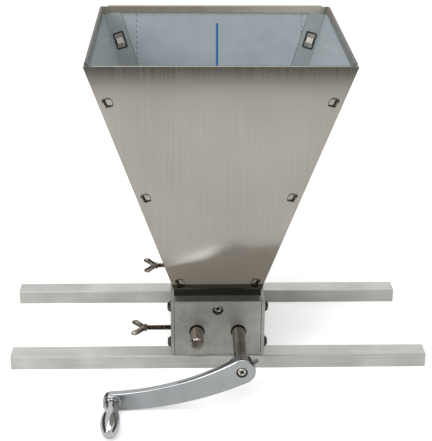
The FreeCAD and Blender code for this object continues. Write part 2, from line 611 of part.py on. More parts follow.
# The slots along one corner of a front panel and the tabs pressed in from them.
def add_tabs(body, side, name):
    lean = f"{side} * at.corner_lean"
    low = "dim.tab_row_start"
    inset = "dim.tab_inset"
    half_width = "dim.tab_slot_width / 2"
    half_height = "dim.tab_slot_height / 2"
    turn = "dim.tab_slot_round"
    middle = f"{side} * -{inset}"
    left = f"{middle} - {half_width}"
    right = f"{middle} + {half_width}"
    slot = add_sketch(body, "XZ_Plane", f"{name}_slot_place", x=f"{side} * at.fold_x",
                      axis=Z_AXIS, angle=f"-({lean})")
    outline(slot, [
        (f"{left} + {turn}", f"{low} - {half_height}"),
        (f"{right} - {turn}", f"{low} - {half_height}", turn, 1),
        (right, f"{low} - {half_height} + {turn}"),
        (right, f"{low} + {half_height} - {turn}", turn, 1),
        (f"{right} - {turn}", f"{low} + {half_height}"),
        (f"{left} + {turn}", f"{low} + {half_height}", turn, 1),
        (left, f"{low} + {half_height} - {turn}"),
        (left, f"{low} - {half_height} + {turn}", turn, 1),
    ])
    cut = pocket(body, slot, f"{name}_slot")
    repeat(body, cut, slot, f"{name}_slots", "V_Axis", "dim.tab_row_spacing", "dim.tab_row_count")

    root = "-at.tab_root_inset"
    tip = "-at.tab_tip_inset"
    outer = "dim.tab_relief"
    inner = "dim.sheet - dim.tab_relief"
    depth = f"{outer} + dim.tab_length * sin(dim.tab_tilt)"
    thick = "(dim.sheet - 2 * dim.tab_relief)"
    for row in range(round(value("dim.tab_row_count"))):
        start = f"({low} + {row} * dim.tab_row_spacing - dim.tab_height / 2)"
        tab = add_sketch(body, "XY_Plane", f"{name}_tab_section_{row + 1}",
                         x=f"{side} * at.fold_x + {start} * sin({lean})",
                         z=f"{start} * cos({lean})", axis=Y_AXIS, angle=lean)
        outline(tab, [
            (f"{side} * ({root} - dim.tab_root)", outer),
            (f"{side} * ({root})", outer),
            (f"{side} * ({tip})", depth),
            (f"{side} * ({tip} - {thick} * sin(dim.tab_tilt))",
             f"{depth} + {thick} * cos(dim.tab_tilt)"),
            (f"{side} * ({root})", inner),
            (f"{side} * ({root} - dim.tab_root)", inner),
        ])
        before = body.Shape.Volume
        pad(body, tab, f"{name}_tab_{row + 1}", "dim.tab_height")
        doc.recompute()
        if not body.Shape.Volume > before:
            raise ValueError(f"a tab is missing on the {name}")


# Side hopper panel: hemmed and bent like the front one, with a flange along each corner that lies
# on the inside of the front or rear panel. It is drawn upright, with the fold at the origin and
# the outside towards +X, and then leaned out.
def make_side_panel():
    body = add_body("hopper_right")
    profile = add_sketch(body, "XZ_Plane", "side_profile")
    lean = "at.side_lean"
    outline(profile, [
        ("0", "0"),
        (f"at.side_spigot * sin({lean})", f"-at.side_spigot * cos({lean})"),
        (f"at.side_spigot * sin({lean}) - dim.sheet * cos({lean})",
         f"-at.side_spigot * cos({lean}) - dim.sheet * sin({lean})"),
        ("-dim.sheet", f"-dim.sheet * tan({lean} / 2)"),
        ("-dim.sheet", "at.side_slope - at.hem_radius"),
        ("0", "at.side_slope - at.hem_radius"),
    ])
    pad(body, profile, "side_bend", "dim.hopper_top_depth", both=True)

    trim = add_sketch(body, "YZ_Plane", "side_trim")
    beyond = f"dim.hopper_top_depth / 2 + dim.trim_margin"
    below = f"-at.side_spigot - dim.trim_margin"
    above = f"at.side_slope + dim.trim_margin"
    for end in (-1, 1):
        outline(trim, [
            (f"{end} * at.side_low_y", below),
            (f"{end} * ({beyond})", below),
            (f"{end} * ({beyond})", above),
            (f"{end} * (at.side_top_y + dim.trim_margin * tan(at.flange_lean))", above),
            (f"{end} * at.side_low_y", "at.side_step"),
        ])
    pocket(body, trim, "side_corners")
    add_hem(body, "XZ_Plane", "side", -1, "at.side_slope", "at.side_top_y")
    for end, name in ((-1, "front"), (1, "rear")):
        add_flange(body, end, name)
    place(body, x="at.throat_x", z="at.side_fold_z", axis=Y_AXIS, angle=lean)
    mirror(body, "hopper_left", X_AXIS)


# A sketch square to the corner, a given way up along it from the front fold. Its origin is on the
# panel's outside, X points out and Y towards the rear.
def add_corner_sketch(body, end, name, way):
    return add_sketch(body, "XY_Plane", name, y=f"{end} * (at.side_low_y + ({way}) * sin(at.flange_lean))",
                      z=f"at.side_step + ({way}) * cos(at.flange_lean)", axis=X_AXIS,
                      angle=f"{-end} * at.flange_lean")


def add_flange(body, end, name):
    turn = "at.corner_angle"

    # A point of the section: along the flange from the corner, and in from its outer face.
    def spot(along, depth):
        x = f"-({along}) * sin({turn}) + ({depth}) * cos({turn})"
        y = f"{-end} * (({along}) * cos({turn}) + ({depth}) * sin({turn}))"
        return x, y

    section = add_corner_sketch(body, end, f"{name}_flange_section", "-dim.flange_foot_gap")
    outline(section, [spot("0", "0"), spot("dim.flange_width", "0"),
                      spot("dim.flange_width", "dim.sheet"), spot("0", "dim.sheet")])
    pad(body, section, f"{name}_flange", "at.flange_length")
    top = value("at.side_step + (at.flange_length - dim.flange_foot_gap) * cos(at.flange_lean)")
    sheet = value("dim.sheet")
    width = value("dim.flange_width")

    def at_free_corner(edge):
        centre = edge.CenterOfMass
        rises = abs(centre.z - top) < sheet
        return rises and abs(edge.Length - sheet) < NEAR and centre.x < -width / 2 and centre.y * end > 0

    treat_edges(body, "PartDesign::Fillet", f"{name}_flange_corner", "dim.flange_round", at_free_corner)
    window = add_corner_sketch(body, end, f"{name}_window_section",
                               "dim.tab_row_start - dim.flange_window_height / 2")
    near = "at.tab_tip_inset - dim.flange_window_clearance"
    far = f"{near} + dim.flange_window_width"
    outline(window, [spot(near, "-dim.sheet"), spot(far, "-dim.sheet"),
                     spot(far, "2 * dim.sheet"), spot(near, "2 * dim.sheet")])
    cut = pocket(body, window, f"{name}_window", "dim.flange_window_height", back=True)
    repeat(body, cut, window, f"{name}_windows", "N_Axis", "dim.tab_row_spacing", "dim.tab_row_count")


# Pan-headed screw with its seat at the origin and its head towards -Y.
def make_pan_screw(name, shank):
    body = add_body(name, keep=False)
    half = add_sketch(body, "XY_Plane", f"{name}_half")
    radius = "dim.pan_screw_head / 2"
    height = "dim.pan_screw_head_height"
    outline(half, [
        ("0", f"-{height}"),
        (f"{radius} - dim.pan_screw_crown", f"-{height}"),
        (radius, f"dim.pan_screw_crown - {height}"),
        (radius, "0"),
        ("dim.pan_screw_diameter / 2", "0"),
        ("dim.pan_screw_diameter / 2", shank),
        ("0", shank),
    ])
    revolve(body, half, f"{name}_turned", "V_Axis")
    return body


# The screws that hold the hopper's spigot in the box, and the clinch nuts on the spigot.
def make_hopper_fasteners():
    screw = make_pan_screw("hopper_screw", "at.pan_shank_out")
    seat = "at.plate_face - dim.hopper_sink_depth"
    group(screw, "hopper_screws", [
        ("0", f"-({seat})", "at.hopper_screw_z", Z_AXIS, "0"),
        ("0", seat, "at.hopper_screw_z", Z_AXIS, str(HALF_TURN)),
    ])
    nut = add_body("hopper_nut", keep=False)
    ring = add_sketch(nut, "XZ_Plane", "hopper_nut_ring")
    circle(ring, "0", "0", "dim.hopper_nut_diameter")
    circle(ring, "0", "0", "dim.pan_screw_diameter + 2 * dim.seat_clearance")
    pad(nut, ring, "hopper_nut_slug", "dim.hopper_nut_length", back=True)
    inside = "at.throat_y - dim.sheet"
    group(nut, "hopper_nuts", [
        ("0", f"-({inside})", "at.hopper_screw_z", Z_AXIS, "0"),
        ("0", inside, "at.hopper_screw_z", Z_AXIS, str(HALF_TURN)),
    ])


# The bushes that carry the drive shaft.
def make_bushes():
    body = add_body("front_drive_bush")
    ring = add_sketch(body, "XZ_Plane", "bush_ring", z="at.plate_inner")
    circle(ring, "at.shaft_x", "at.shaft_z", "dim.bush_diameter")
    circle(ring, "at.shaft_x", "at.shaft_z", "dim.shaft_diameter + 2 * dim.run_clearance")
    pad(body, ring, "bush_sleeve", "dim.seat_depth")
    mirror(body, "rear_drive_bush", Y_AXIS)


# A roller with straight flutes, about its own axis.
def make_roller(label, x, z):
    body = add_body(label)
    ring = add_sketch(body, "XZ_Plane", f"{label}_ring")
    circle(ring, "0", "0", "dim.roller_diameter")
    circle(ring, "0", "0", "dim.shaft_diameter + 2 * dim.seat_clearance")
    pad(body, ring, f"{label}_barrel", "2 * at.roller_half", both=True)
    groove = add_sketch(body, "XZ_Plane", f"{label}_groove")
    crest = "dim.roller_diameter / 2"
    outline(groove, [
        ("-dim.flute_width", f"{crest} + dim.flute_depth"),
        ("0", f"{crest} - dim.flute_depth"),
        ("dim.flute_width", f"{crest} + dim.flute_depth"),
    ])
    cut = pocket(body, groove, f"{label}_flute")
    flutes = body.newObject("PartDesign::PolarPattern", f"{label}_flutes")
    flutes.Originals = [cut]
    flutes.Axis = (ring, ["N_Axis"])
    flutes.Angle = FULL_TURN
    flutes.setExpression("Occurrences", "dim.flute_count")
    body.Tip = flutes
    place(body, x=x, z=z)


# The drive shaft runs from the crank to the rear plate and is tapped for the crank's screw.
def make_drive_shaft():
    body = add_body("drive_shaft")
    end = add_sketch(body, "XZ_Plane", "drive_shaft_end", z="at.shaft_front")
    circle(end, "0", "0", "dim.shaft_diameter")
    pad(body, end, "drive_shaft_bar", "at.shaft_front + at.shaft_rear", back=True)
    tap = add_sketch(body, "XZ_Plane", "drive_shaft_tap_place", z="at.shaft_front")
    circle(tap, "0", "0", "dim.pan_screw_diameter + 2 * dim.seat_clearance")
    pocket(body, tap, "drive_shaft_tap", "dim.crank_screw_reach + dim.crank_web")
    place(body, x="at.shaft_x", z="at.shaft_z")


# The idle shaft: a core in the roller and a thinner journal at each end.
def make_idle_shaft(x, z):
    body = add_body("idle_shaft")
    core = add_sketch(body, "XZ_Plane", "idle_core_end")
    circle(core, "0", "0", "dim.shaft_diameter")
    pad(body, core, "idle_core", "2 * at.roller_half", both=True)
    journal = add_sketch(body, "XZ_Plane", "idle_journal_end")
    circle(journal, "0", "0", "dim.journal_diameter")
    pad(body, journal, "idle_journals", "2 * (at.plate_inner + dim.journal_reach)", both=True)
    place(body, x=x, z=z)


# An eccentric adjuster: a disc in the plate's seat, bored off its centre for the idle journal,
# with a stub that stands out in front for the hand.
def make_adjusters():
    body = add_body("front_adjuster")
    disc = add_sketch(body, "XZ_Plane", "adjuster_disc_end", z="at.plate_inner")
    circle(disc, "-at.shaft_x", "at.shaft_z", "dim.adjuster_diameter")
    pad(body, disc, "adjuster_disc", "dim.seat_depth - dim.thrust_gap")
    stub = add_sketch(body, "XZ_Plane", "adjuster_stub_end", z="at.seat_floor - dim.seat_depth / 2")
    circle(stub, "-at.shaft_x", "at.shaft_z", "dim.shaft_diameter")
    reach = "dim.seat_depth / 2 + dim.plate_thickness - dim.seat_depth + dim.stub_stand_out"
    pad(body, stub, "adjuster_stub", reach)
    tip = -value("at.plate_face + dim.stub_stand_out")
    treat_edges(body, "PartDesign::Chamfer", "adjuster_stub_edge", "dim.stub_chamfer",
                lambda edge: edge.BoundBox.YMax < tip + NEAR)
    bore = add_sketch(body, "XZ_Plane", "adjuster_bore_place", z="at.plate_inner")
    circle(bore, "-at.shaft_x", "at.shaft_z - dim.eccentricity",
           "dim.journal_diameter + 2 * dim.run_clearance")
    pocket(body, bore, "adjuster_bore", "dim.journal_reach + dim.thrust_gap", back=True)
    mirror(body, "rear_adjuster", Y_AXIS)


# A wing bolt, with its tip at the origin and its wings towards -X.
def make_wing_bolt(label, stand_out, end, turn):
    body = add_body(label)
    half = add_sketch(body, "XY_Plane", f"{label}_half")
    rod = "dim.wing_rod_length"
    radius = "dim.wing_rod_diameter / 2"
    outline(half, [
        ("0", "0"),
        ("0", f"{radius} - dim.wing_rod_chamfer"),
        ("-dim.wing_rod_chamfer", radius),
        (f"-{rod}", radius),
        (f"-{rod}", "dim.wing_boss_neck / 2"),
        (f"-{rod} - dim.wing_boss_length", "dim.wing_boss_diameter / 2"),
        (f"-{rod} - dim.wing_boss_length", "0"),
    ])
    revolve(body, half, f"{label}_turned", "H_Axis")
    wings = add_sketch(body, "XZ_Plane", f"{label}_wing_outline")
    root = f"-{rod} - dim.wing_root_start"
    tip = f"-{rod} - dim.wing_tip_start"
    for side in (-1, 1):
        outline(wings, [
            (root, f"{side} * dim.wing_root_radius"),
            (tip, f"{side} * dim.wing_shoulder_reach"),
            (f"{tip} - dim.wing_tip_width", f"{side} * dim.wing_end_reach"),
            (f"{root} - dim.wing_root_width", f"{side} * dim.wing_root_radius"),
        ])
    pad(body, wings, f"{label}_wings", "dim.wing_thickness", both=True)
    rim = value("(dim.wing_end_reach + dim.wing_boss_diameter / 2) / 2")
    across = value("dim.wing_thickness")
    treat_edges(body, "PartDesign::Fillet", f"{label}_tips", "dim.wing_tip_round",
                lambda edge: abs(edge.CenterOfMass.z) > rim and abs(edge.BoundBox.YLength - across) < NEAR)
    place(body, x=f"{rod} - at.side_face - {stand_out}", y=f"{end} * at.wing_y", z="at.shaft_z",
          axis=X_AXIS, angle=turn)


# The crank arm: a sabre-shaped arm between two round ends, drawn with the hub at the origin and
# the small end towards -X, and then let down until the grip nearly rests on the ground.
def make_crank_arm():
    body = add_body("crank_arm")
    shape = add_sketch(body, "XZ_Plane", "arm_outline")
    add_arm_outline(shape)
    pad(body, shape, "arm_slab", "dim.arm_thickness", back=True)
    treat_edges(body, "PartDesign::Fillet", "arm_edges", "dim.arm_edge_round",
                lambda edge: edge.BoundBox.YMax < NEAR)
    hub = add_sketch(body, "XZ_Plane", "hub_end", z="-dim.arm_thickness / 2")
    circle(hub, "0", "0", "dim.hub_diameter")
    pad(body, hub, "hub", "dim.hub_thickness - dim.arm_thickness / 2", back=True)
    boss = add_sketch(body, "XZ_Plane", "boss_end", z="-dim.arm_thickness / 2")
    circle(boss, "-dim.crank_radius", "0", "dim.grip_boss_diameter")
    pad(body, boss, "boss", "dim.grip_boss_length + dim.arm_thickness / 2")

    sink = add_sketch(body, "XZ_Plane", "crank_sink_place")
    circle(sink, "0", "0", "dim.pan_sink_diameter")
    pocket(body, sink, "crank_sink", "dim.crank_sink_depth")
    way = add_sketch(body, "XZ_Plane", "crank_hole_place")
    circle(way, "0", "0", "dim.pan_screw_diameter + 2 * dim.pass_clearance")
    pocket(body, way, "crank_hole", "dim.hub_thickness")
    socket = add_sketch(body, "XZ_Plane", "crank_socket_place", z="-dim.crank_sink_depth - dim.crank_web")
    circle(socket, "0", "0", "dim.shaft_diameter + 2 * dim.seat_clearance")
    pocket(body, socket, "crank_socket", "dim.hub_thickness")
    seat = add_sketch(body, "XZ_Plane", "grip_pin_place", z="dim.grip_boss_length")
    circle(seat, "-dim.crank_radius", "0", "dim.grip_pin_diameter + 2 * dim.seat_clearance")
    pocket(body, seat, "grip_pin_hole", "dim.grip_boss_length + dim.arm_thickness")
    tap = add_sketch(body, "YZ_Plane", "set_screw_place", axis=X_AXIS,
                     angle="at.crank_droop - dim.set_screw_angle")
    circle(tap, "dim.set_screw_setback", "0", "dim.set_screw_diameter + 2 * dim.seat_clearance")
    pocket(body, tap, "set_screw_hole", "dim.hub_diameter", back=True)
    place(body, x="at.shaft_x", y="-at.crank_y", z="at.shaft_z", axis=Y_AXIS, angle="-at.crank_droop")


# Two round ends joined by a hollow upper edge and a full lower edge, each tangent to both ends.
def add_arm_outline(sketch):
    reach = value("dim.crank_radius")
    big = value("dim.hub_diameter / 2")
    small = value("dim.arm_end_diameter / 2")
    hub_centre = Vector(0, 0, 0)
    end_centre = Vector(-reach, 0, 0)

    # Centre of an edge whose distances from the hub and the small end are known.
    def edge_centre(from_hub, from_end):
        along = (from_hub ** 2 - from_end ** 2 + reach ** 2) / (2 * reach)
        return Vector(-along, (from_hub ** 2 - along ** 2) ** 0.5, 0)

    upper = value("dim.arm_upper_radius")
    lower = value("dim.arm_lower_radius")
    upper_centre = edge_centre(upper + big, upper + small)
    lower_centre = edge_centre(lower - big, lower - small)

    def toward(start, target, length):
        return start + (target - start).normalize() * length

    hub_top = toward(hub_centre, upper_centre, big)
    end_top = toward(end_centre, upper_centre, small)
    hub_low = toward(hub_centre, lower_centre, -big)
    end_low = toward(end_centre, lower_centre, -small)
    edge_mid = toward(upper_centre, (hub_top + end_top) * 0.5, upper)
    foot_mid = toward(lower_centre, (hub_low + end_low) * 0.5, lower)
    hub = sketch.addGeometry(Part.Arc(hub_low, Vector(big, 0, 0), hub_top))
    edge = sketch.addGeometry(Part.Arc(hub_top, edge_mid, end_top))
    end = sketch.addGeometry(Part.Arc(end_top, Vector(-reach - small, 0, 0), end_low))
    foot = sketch.addGeometry(Part.Arc(end_low, foot_mid, hub_low))
    fix_point(sketch, hub, 3, "0", "0")
    fix_point(sketch, end, 3, "-dim.crank_radius", "0")
    constrain(sketch, "dim.hub_diameter / 2", "Radius", hub)
    constrain(sketch, "dim.arm_end_diameter / 2", "Radius", end)
    constrain(sketch, "dim.arm_upper_radius", "Radius", edge)
    constrain(sketch, "dim.arm_lower_radius", "Radius", foot)
    # Arcs are stored anticlockwise, so the hollow edge's ends are the other way round.
    joins = ((hub, 2, edge, 2), (edge, 1, end, 1), (end, 2, foot, 1), (foot, 2, hub, 1))
    for first, tail, second, head in joins:
        sketch.addConstraint(Sketcher.Constraint("Tangent", first, tail, second, head))


# The screw on the shaft's end and the set screw through the hub's rim.
def make_crank_screws():
    screw = make_pan_screw("crank_screw", "dim.crank_web + dim.crank_screw_reach")
    nodes.append(screw)
    place(screw, x="at.shaft_x", y="dim.crank_sink_depth - at.crank_y", z="at.shaft_z")
    body = add_body("crank_set_screw")
    end = add_sketch(body, "YZ_Plane", "set_screw_end", z="dim.shaft_diameter / 2 + dim.seat_clearance")
    circle(end, "0", "0", "dim.set_screw_diameter")
    pad(body, end, "set_screw_rod",
        "(dim.hub_diameter - dim.shaft_diameter) / 2 - dim.seat_clearance + dim.set_screw_stand_out")
    place(body, x="at.shaft_x", y="dim.set_screw_setback - at.crank_y", z="at.shaft_z",
          axis=Y_AXIS, angle="-dim.set_screw_angle")


# The revolving grip, turned about Y with its neck end at the origin, and the pin it turns on.
def make_grip():
    body = add_body("grip")
    half = add_sketch(body, "XY_Plane", "grip_half")
    add_grip_outline(half)
    revolve(body, half, "grip_turned", "V_Axis")
    bore = add_sketch(body, "XZ_Plane", "grip_bore_place")
    circle(bore, "0", "0", "dim.grip_pin_diameter + 2 * dim.run_clearance")
    pocket(body, bore, "grip_bore", "dim.grip_pin_reach + dim.thrust_gap", back=True)
    place(body, x="at.grip_x", y="-at.grip_y", z="at.grip_z")
    pin = add_body("grip_pin")
    end = add_sketch(pin, "XZ_Plane", "grip_pin_end", z="dim.grip_pin_reach")
    circle(end, "0", "0", "dim.grip_pin_diameter")
    pad(pin, end, "grip_pin_rod",
        "dim.grip_pin_reach + dim.grip_end_gap + dim.grip_boss_length + dim.arm_thickness", back=True)
    place(pin, x="at.grip_x", y="-at.grip_y", z="at.grip_z")


# Half the grip: a straight neck, a hollow curve, the long barrel and a round end, all tangent.
def add_grip_outline(sketch):
    length = value("dim.grip_length")
    neck = value("dim.grip_neck_diameter / 2")
    bulb = value("dim.grip_bulb_diameter / 2")
    wide = value("dim.grip_bulb_position")
    barrel = value("dim.grip_barrel_radius")
    hollow = value("dim.grip_neck_curve")
    barrel_centre = Vector(bulb - barrel, -wide, 0)
    rise = ((hollow + barrel) ** 2 - (neck + hollow - bulb + barrel) ** 2) ** 0.5
    hollow_centre = Vector(neck + hollow, rise - wide, 0)
    spare = length - wide
    tip = (barrel ** 2 - (barrel - bulb) ** 2 - spare ** 2) / (2 * (barrel - spare))
    tip_centre = Vector(0, tip - length, 0)
    neck_end = Vector(neck, hollow_centre.y, 0)
    meet = barrel_centre + (hollow_centre - barrel_centre).normalize() * barrel
    leave = barrel_centre + (tip_centre - barrel_centre).normalize() * barrel
    point = Vector(0, -length, 0)

    def middle(centre, radius, start, end):
        return centre + ((start + end) * 0.5 - centre).normalize() * radius

    base = sketch.addGeometry(Part.LineSegment(Vector(), Vector(neck, 0, 0)))
    straight = sketch.addGeometry(Part.LineSegment(Vector(neck, 0, 0), neck_end))
    curve = sketch.addGeometry(Part.Arc(neck_end, middle(hollow_centre, hollow, neck_end, meet), meet))
    long = sketch.addGeometry(Part.Arc(meet, middle(barrel_centre, barrel, meet, leave), leave))
    end = sketch.addGeometry(Part.Arc(leave, middle(tip_centre, tip, leave, point), point))
    axis = sketch.addGeometry(Part.LineSegment(point, Vector()))
    fix_point(sketch, base, 1, "0", "0")
    fix_point(sketch, base, 2, "dim.grip_neck_diameter / 2", "0")
    sketch.addConstraint(Sketcher.Constraint("Coincident", base, 2, straight, 1))
    sketch.addConstraint(Sketcher.Constraint("Vertical", straight))
    constrain(sketch, "dim.grip_neck_curve", "Radius", curve)
    constrain(sketch, "dim.grip_barrel_radius", "Radius", long)
    fix_point(sketch, long, 3,
              "dim.grip_bulb_diameter / 2 - dim.grip_barrel_radius", "-dim.grip_bulb_position")
    fix_point(sketch, axis, 1, "0", "-dim.grip_length")
    constrain(sketch, "0", "DistanceX", -1, 1, end, 3)
    sketch.addConstraint(Sketcher.Constraint("Coincident", axis, 2, base, 1))
    sketch.addConstraint(Sketcher.Constraint("Tangent", straight, 2, curve, 1))
    # Clockwise arcs are stored from their far end.
    sketch.addConstraint(Sketcher.Constraint("Tangent", curve, 2, long, 2))
    sketch.addConstraint(Sketcher.Constraint("Tangent", long, 1, end, 2))
    sketch.addConstraint(Sketcher.Constraint("Coincident", end, 1, axis, 1))


make_rail("front_rail", "dim.front_rail_shift", -1)
make_rail("rear_rail", "dim.rear_rail_shift", 1)
make_end_plates()
make_side_plate("left_side_plate", -1, has_locks=True)
make_side_plate("right_side_plate", 1, has_locks=False)
make_side_screws()
make_rail_screws()
make_front_panel()
make_side_panel()
make_hopper_fasteners()
make_bushes()
make_roller("drive_roller", "at.shaft_x", "at.shaft_z")
make_drive_shaft()
make_roller("idle_roller", "-at.shaft_x", "at.shaft_z - dim.eccentricity")
make_idle_shaft("-at.shaft_x", "at.shaft_z - dim.eccentricity")
make_adjusters()
make_wing_bolt("front_wing_bolt", "at.front_wing_out", -1, "dim.front_wing_angle")
make_wing_bolt("rear_wing_bolt", "at.rear_wing_out", 1, "dim.rear_wing_angle")
make_crank_arm()
make_crank_screws()
make_grip()
doc.recompute()

failed = [item.Name for item in doc.Objects if "Invalid" in item.State or "Error" in item.State]
if failed:
    raise RuntimeError(f"failed features: {failed}")
for node in nodes:
    if node.Shape.isNull() or not node.Shape.isValid():
        raise RuntimeError(f"bad shape: {node.Label}")

os.makedirs("parts", exist_ok=True)
for node in nodes:
    node.Shape.exportStep(f"parts/{node.Label}.step")
    print(node.Label, len(node.Shape.Solids), round(node.Shape.Volume, 1))
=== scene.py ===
import math
import bmesh
import bpy
from mathutils import Matrix, Vector


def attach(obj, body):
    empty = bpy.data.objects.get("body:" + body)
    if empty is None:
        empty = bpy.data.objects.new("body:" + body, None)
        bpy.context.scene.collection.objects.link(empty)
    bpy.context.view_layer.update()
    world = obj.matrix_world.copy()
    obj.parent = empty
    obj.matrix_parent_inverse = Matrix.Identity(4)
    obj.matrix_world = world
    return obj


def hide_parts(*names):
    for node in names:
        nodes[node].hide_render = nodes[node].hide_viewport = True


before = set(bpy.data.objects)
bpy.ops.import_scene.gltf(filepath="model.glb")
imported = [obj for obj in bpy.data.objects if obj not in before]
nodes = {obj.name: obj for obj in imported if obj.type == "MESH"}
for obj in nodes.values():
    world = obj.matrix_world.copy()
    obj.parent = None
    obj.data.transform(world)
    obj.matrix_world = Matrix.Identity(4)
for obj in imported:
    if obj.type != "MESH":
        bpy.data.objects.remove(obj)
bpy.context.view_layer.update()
mm = 0.001
scene = bpy.context.scene
print("frame loaded", len(nodes), "nodes")


def linear(hexCode):  # sRGB hex to linear colour
    parts = [int(hexCode[i:i + 2], 16) / 255 for i in (1, 3, 5)]
    return [c / 12.92 if c <= 0.04045 else ((c + 0.055) / 1.055) ** 2.4 for c in parts] + [1]


def addNode(tree, kind, inputs=None, **settings):
    node = tree.nodes.new(kind)
    for key, value in settings.items():
        setattr(node, key, value)
    for key, value in (inputs or {}).items():
        if isinstance(value, bpy.types.NodeSocket):
            tree.links.new(value, node.inputs[key])
        else:
            node.inputs[key].default_value = value
    return node


def startMaterial(name, metallic, roughness):
    material = bpy.data.materials.new(name)
    material.use_nodes = True
    tree = material.node_tree
    tree.nodes.clear()
    shader = addNode(tree, "ShaderNodeBsdfPrincipled", {"Metallic": metallic, "Roughness": roughness})
    addNode(tree, "ShaderNodeOutputMaterial", {"Surface": shader.outputs[0]})
    return material, tree, shader


# Where the blends of a grained metal start and end.
blend = {"tone": (0.7, 1.3), "rough": (0.3, 0.7), "crest": (0.4, 0.75), "arris": (0.1, 0.45), "fade": 0.8,
         "bumpHigh": 0.05}


# A metal with grain: streaks of the given size along X, Y and Z, and soft clouds between two tones, with painted
# shade where asked.
def grainedMetal(name, look):
    material, tree, shader = startMaterial(name, 1, look["roughness"])
    place = addNode(tree, "ShaderNodeTexCoord").outputs["Object"]
    grain = addNode(tree, "ShaderNodeMapping",
                    {"Vector": place, "Scale": [1 / (side * mm) for side in look["grain"]]}).outputs[0]
    streaks = addNode(tree, "ShaderNodeTexNoise", {"Vector": grain, "Scale": 1, "Detail": 3}).outputs[0]
    clouds = addNode(tree, "ShaderNodeTexNoise",
                     {"Vector": place, "Scale": 1 / (look["cloud"] * mm), "Detail": 2}).outputs[0]
    both = addNode(tree, "ShaderNodeMath", {0: streaks, 1: clouds}, operation="ADD").outputs[0]
    start, end = blend["tone"]
    share = addNode(tree, "ShaderNodeMapRange", {0: both, 1: start, 2: end}).outputs[0]
    dark, light = linear(look["dark"]), linear(look["light"])
    tone = addNode(tree, "ShaderNodeMixRGB", {"Fac": share, "Color1": dark, "Color2": light}).outputs[0]
    if "tintBelow" in look:  # painted shade below the fold, where the sheet stands in the box's shadow
        height = addNode(tree, "ShaderNodeSeparateXYZ", {0: place}).outputs[2]
        start, end = look["tintBelow"] * mm, (look["tintBelow"] - blend["fade"]) * mm
        low = addNode(tree, "ShaderNodeMapRange", {0: height, 1: start, 2: end}).outputs[0]
        tint = linear(look["tint"])
        tone = addNode(tree, "ShaderNodeMixRGB", {"Fac": low, "Color1": tone, "Color2": tint}).outputs[0]
    if "crest" in look or "arris" in look:
        towards = addNode(tree, "ShaderNodeNewGeometry").outputs["True Normal"]
        sides = addNode(tree, "ShaderNodeSeparateXYZ", {0: towards}).outputs
        if "crest" in look:  # painted shade along the rounded top of a hem, on faces turned upward
            seen, (start, end) = sides[2], blend["crest"]
        else:  # painted shade where the top and the front of a bar meet, to take down their bright reflection
            slant = addNode(tree, "ShaderNodeMath", {0: sides[1], 1: sides[2]}, operation="MULTIPLY").outputs[0]
            seen = addNode(tree, "ShaderNodeMath", {0: slant}, operation="ABSOLUTE").outputs[0]
            start, end = blend["arris"]
        share = addNode(tree, "ShaderNodeMapRange", {0: seen, 1: start, 2: end}).outputs[0]
        edgeShade = linear(look.get("crest") or look["arris"])
        tone = addNode(tree, "ShaderNodeMixRGB", {"Fac": share, "Color1": tone, "Color2": edgeShade}).outputs[0]
    tree.links.new(tone, shader.inputs["Base Color"])
    spread = look.get("spread", 0.05)
    start, end = blend["rough"]
    least, most = look["roughness"] - spread, look["roughness"] + spread
    rough = addNode(tree, "ShaderNodeMapRange", {0: streaks, 1: start, 2: end, 3: least, 4: most}).outputs[0]
    tree.links.new(rough, shader.inputs["Roughness"])
    relief = {"Strength": look["bump"], "Distance": blend["bumpHigh"] * mm, "Height": streaks}
    tree.links.new(addNode(tree, "ShaderNodeBump", relief).outputs[0], shader.inputs["Normal"])
    if "across" in look:  # highlights drawn out across the grain
        tangent = addNode(tree, "ShaderNodeCombineXYZ", look["across"]).outputs[0]
        tree.links.new(tangent, shader.inputs["Tangent"])
        shader.inputs["Anisotropic"].default_value = look["brush"]
    return material


# Brushed stainless sheet: warm grey, upright grain, blurred reflections, and painted shade below the fold and on
# the hems' rounded tops.
frontSheetLook = {"dark": "#a29d95", "light": "#aea9a1", "roughness": 0.2, "grain": (1.1, 60, 90),
                  "cloud": 70, "bump": 0.02, "spread": 0.02, "across": {"X": 1}, "brush": 0.75,
                  "tintBelow": 85.3, "tint": "#4a4840", "crest": "#5a544b"}
sideSheetLook = dict(frontSheetLook, grain=(60, 1.1, 90), across={"Y": 1}, tintBelow=76.7)
# Satin plate: cool grey with fine mottling. The grain is drawn coarser than life.
plateLook = {"dark": "#9c9d97", "light": "#b4b5b0", "roughness": 0.45, "grain": (1.2, 1.2, 1.2),
             "cloud": 12, "bump": 0.35, "spread": 0.06}
# Drawn aluminium bar: pale, with long scratches from the die, and painted shade where its top meets its front.
barLook = {"dark": "#b4b4b0", "light": "#cfcfcb", "roughness": 0.42, "grain": (90, 0.8, 0.8),
           "cloud": 30, "bump": 0.3, "spread": 0.08, "arris": "#95958f"}
# Turned steel bar: brownish grey with rings round its axis.
shaftLook = {"dark": "#837a71", "light": "#a99f94", "roughness": 0.2, "grain": (30, 0.6, 30),
             "cloud": 18, "bump": 0.2, "spread": 0.07}
# Plain carbon steel of the rollers and the set screw: mid grey and dull.
steelLook = {"dark": "#6f6d6a", "light": "#8f8d89", "roughness": 0.42, "grain": (2, 12, 2),
             "cloud": 15, "bump": 0.3}
# Cast arm under satin chrome: bluish, smooth and even.
armLook = {"dark": "#9c9fa1", "light": "#a7aaac", "roughness": 0.07, "grain": (12, 12, 12),
           "cloud": 40, "bump": 0.02, "spread": 0.02}
# Bright plating on small screws, a little yellow.
zincLook = {"dark": "#c2beb4", "light": "#dcd9d0", "roughness": 0.16, "grain": (3, 3, 3),
            "cloud": 8, "bump": 0.1}
# Nickel on the wing bolts, gone brown in patches.
wingLook = {"dark": "#3f3831", "light": "#aaa094", "roughness": 0.12, "grain": (2, 2, 2),
            "cloud": 4, "bump": 0.1}
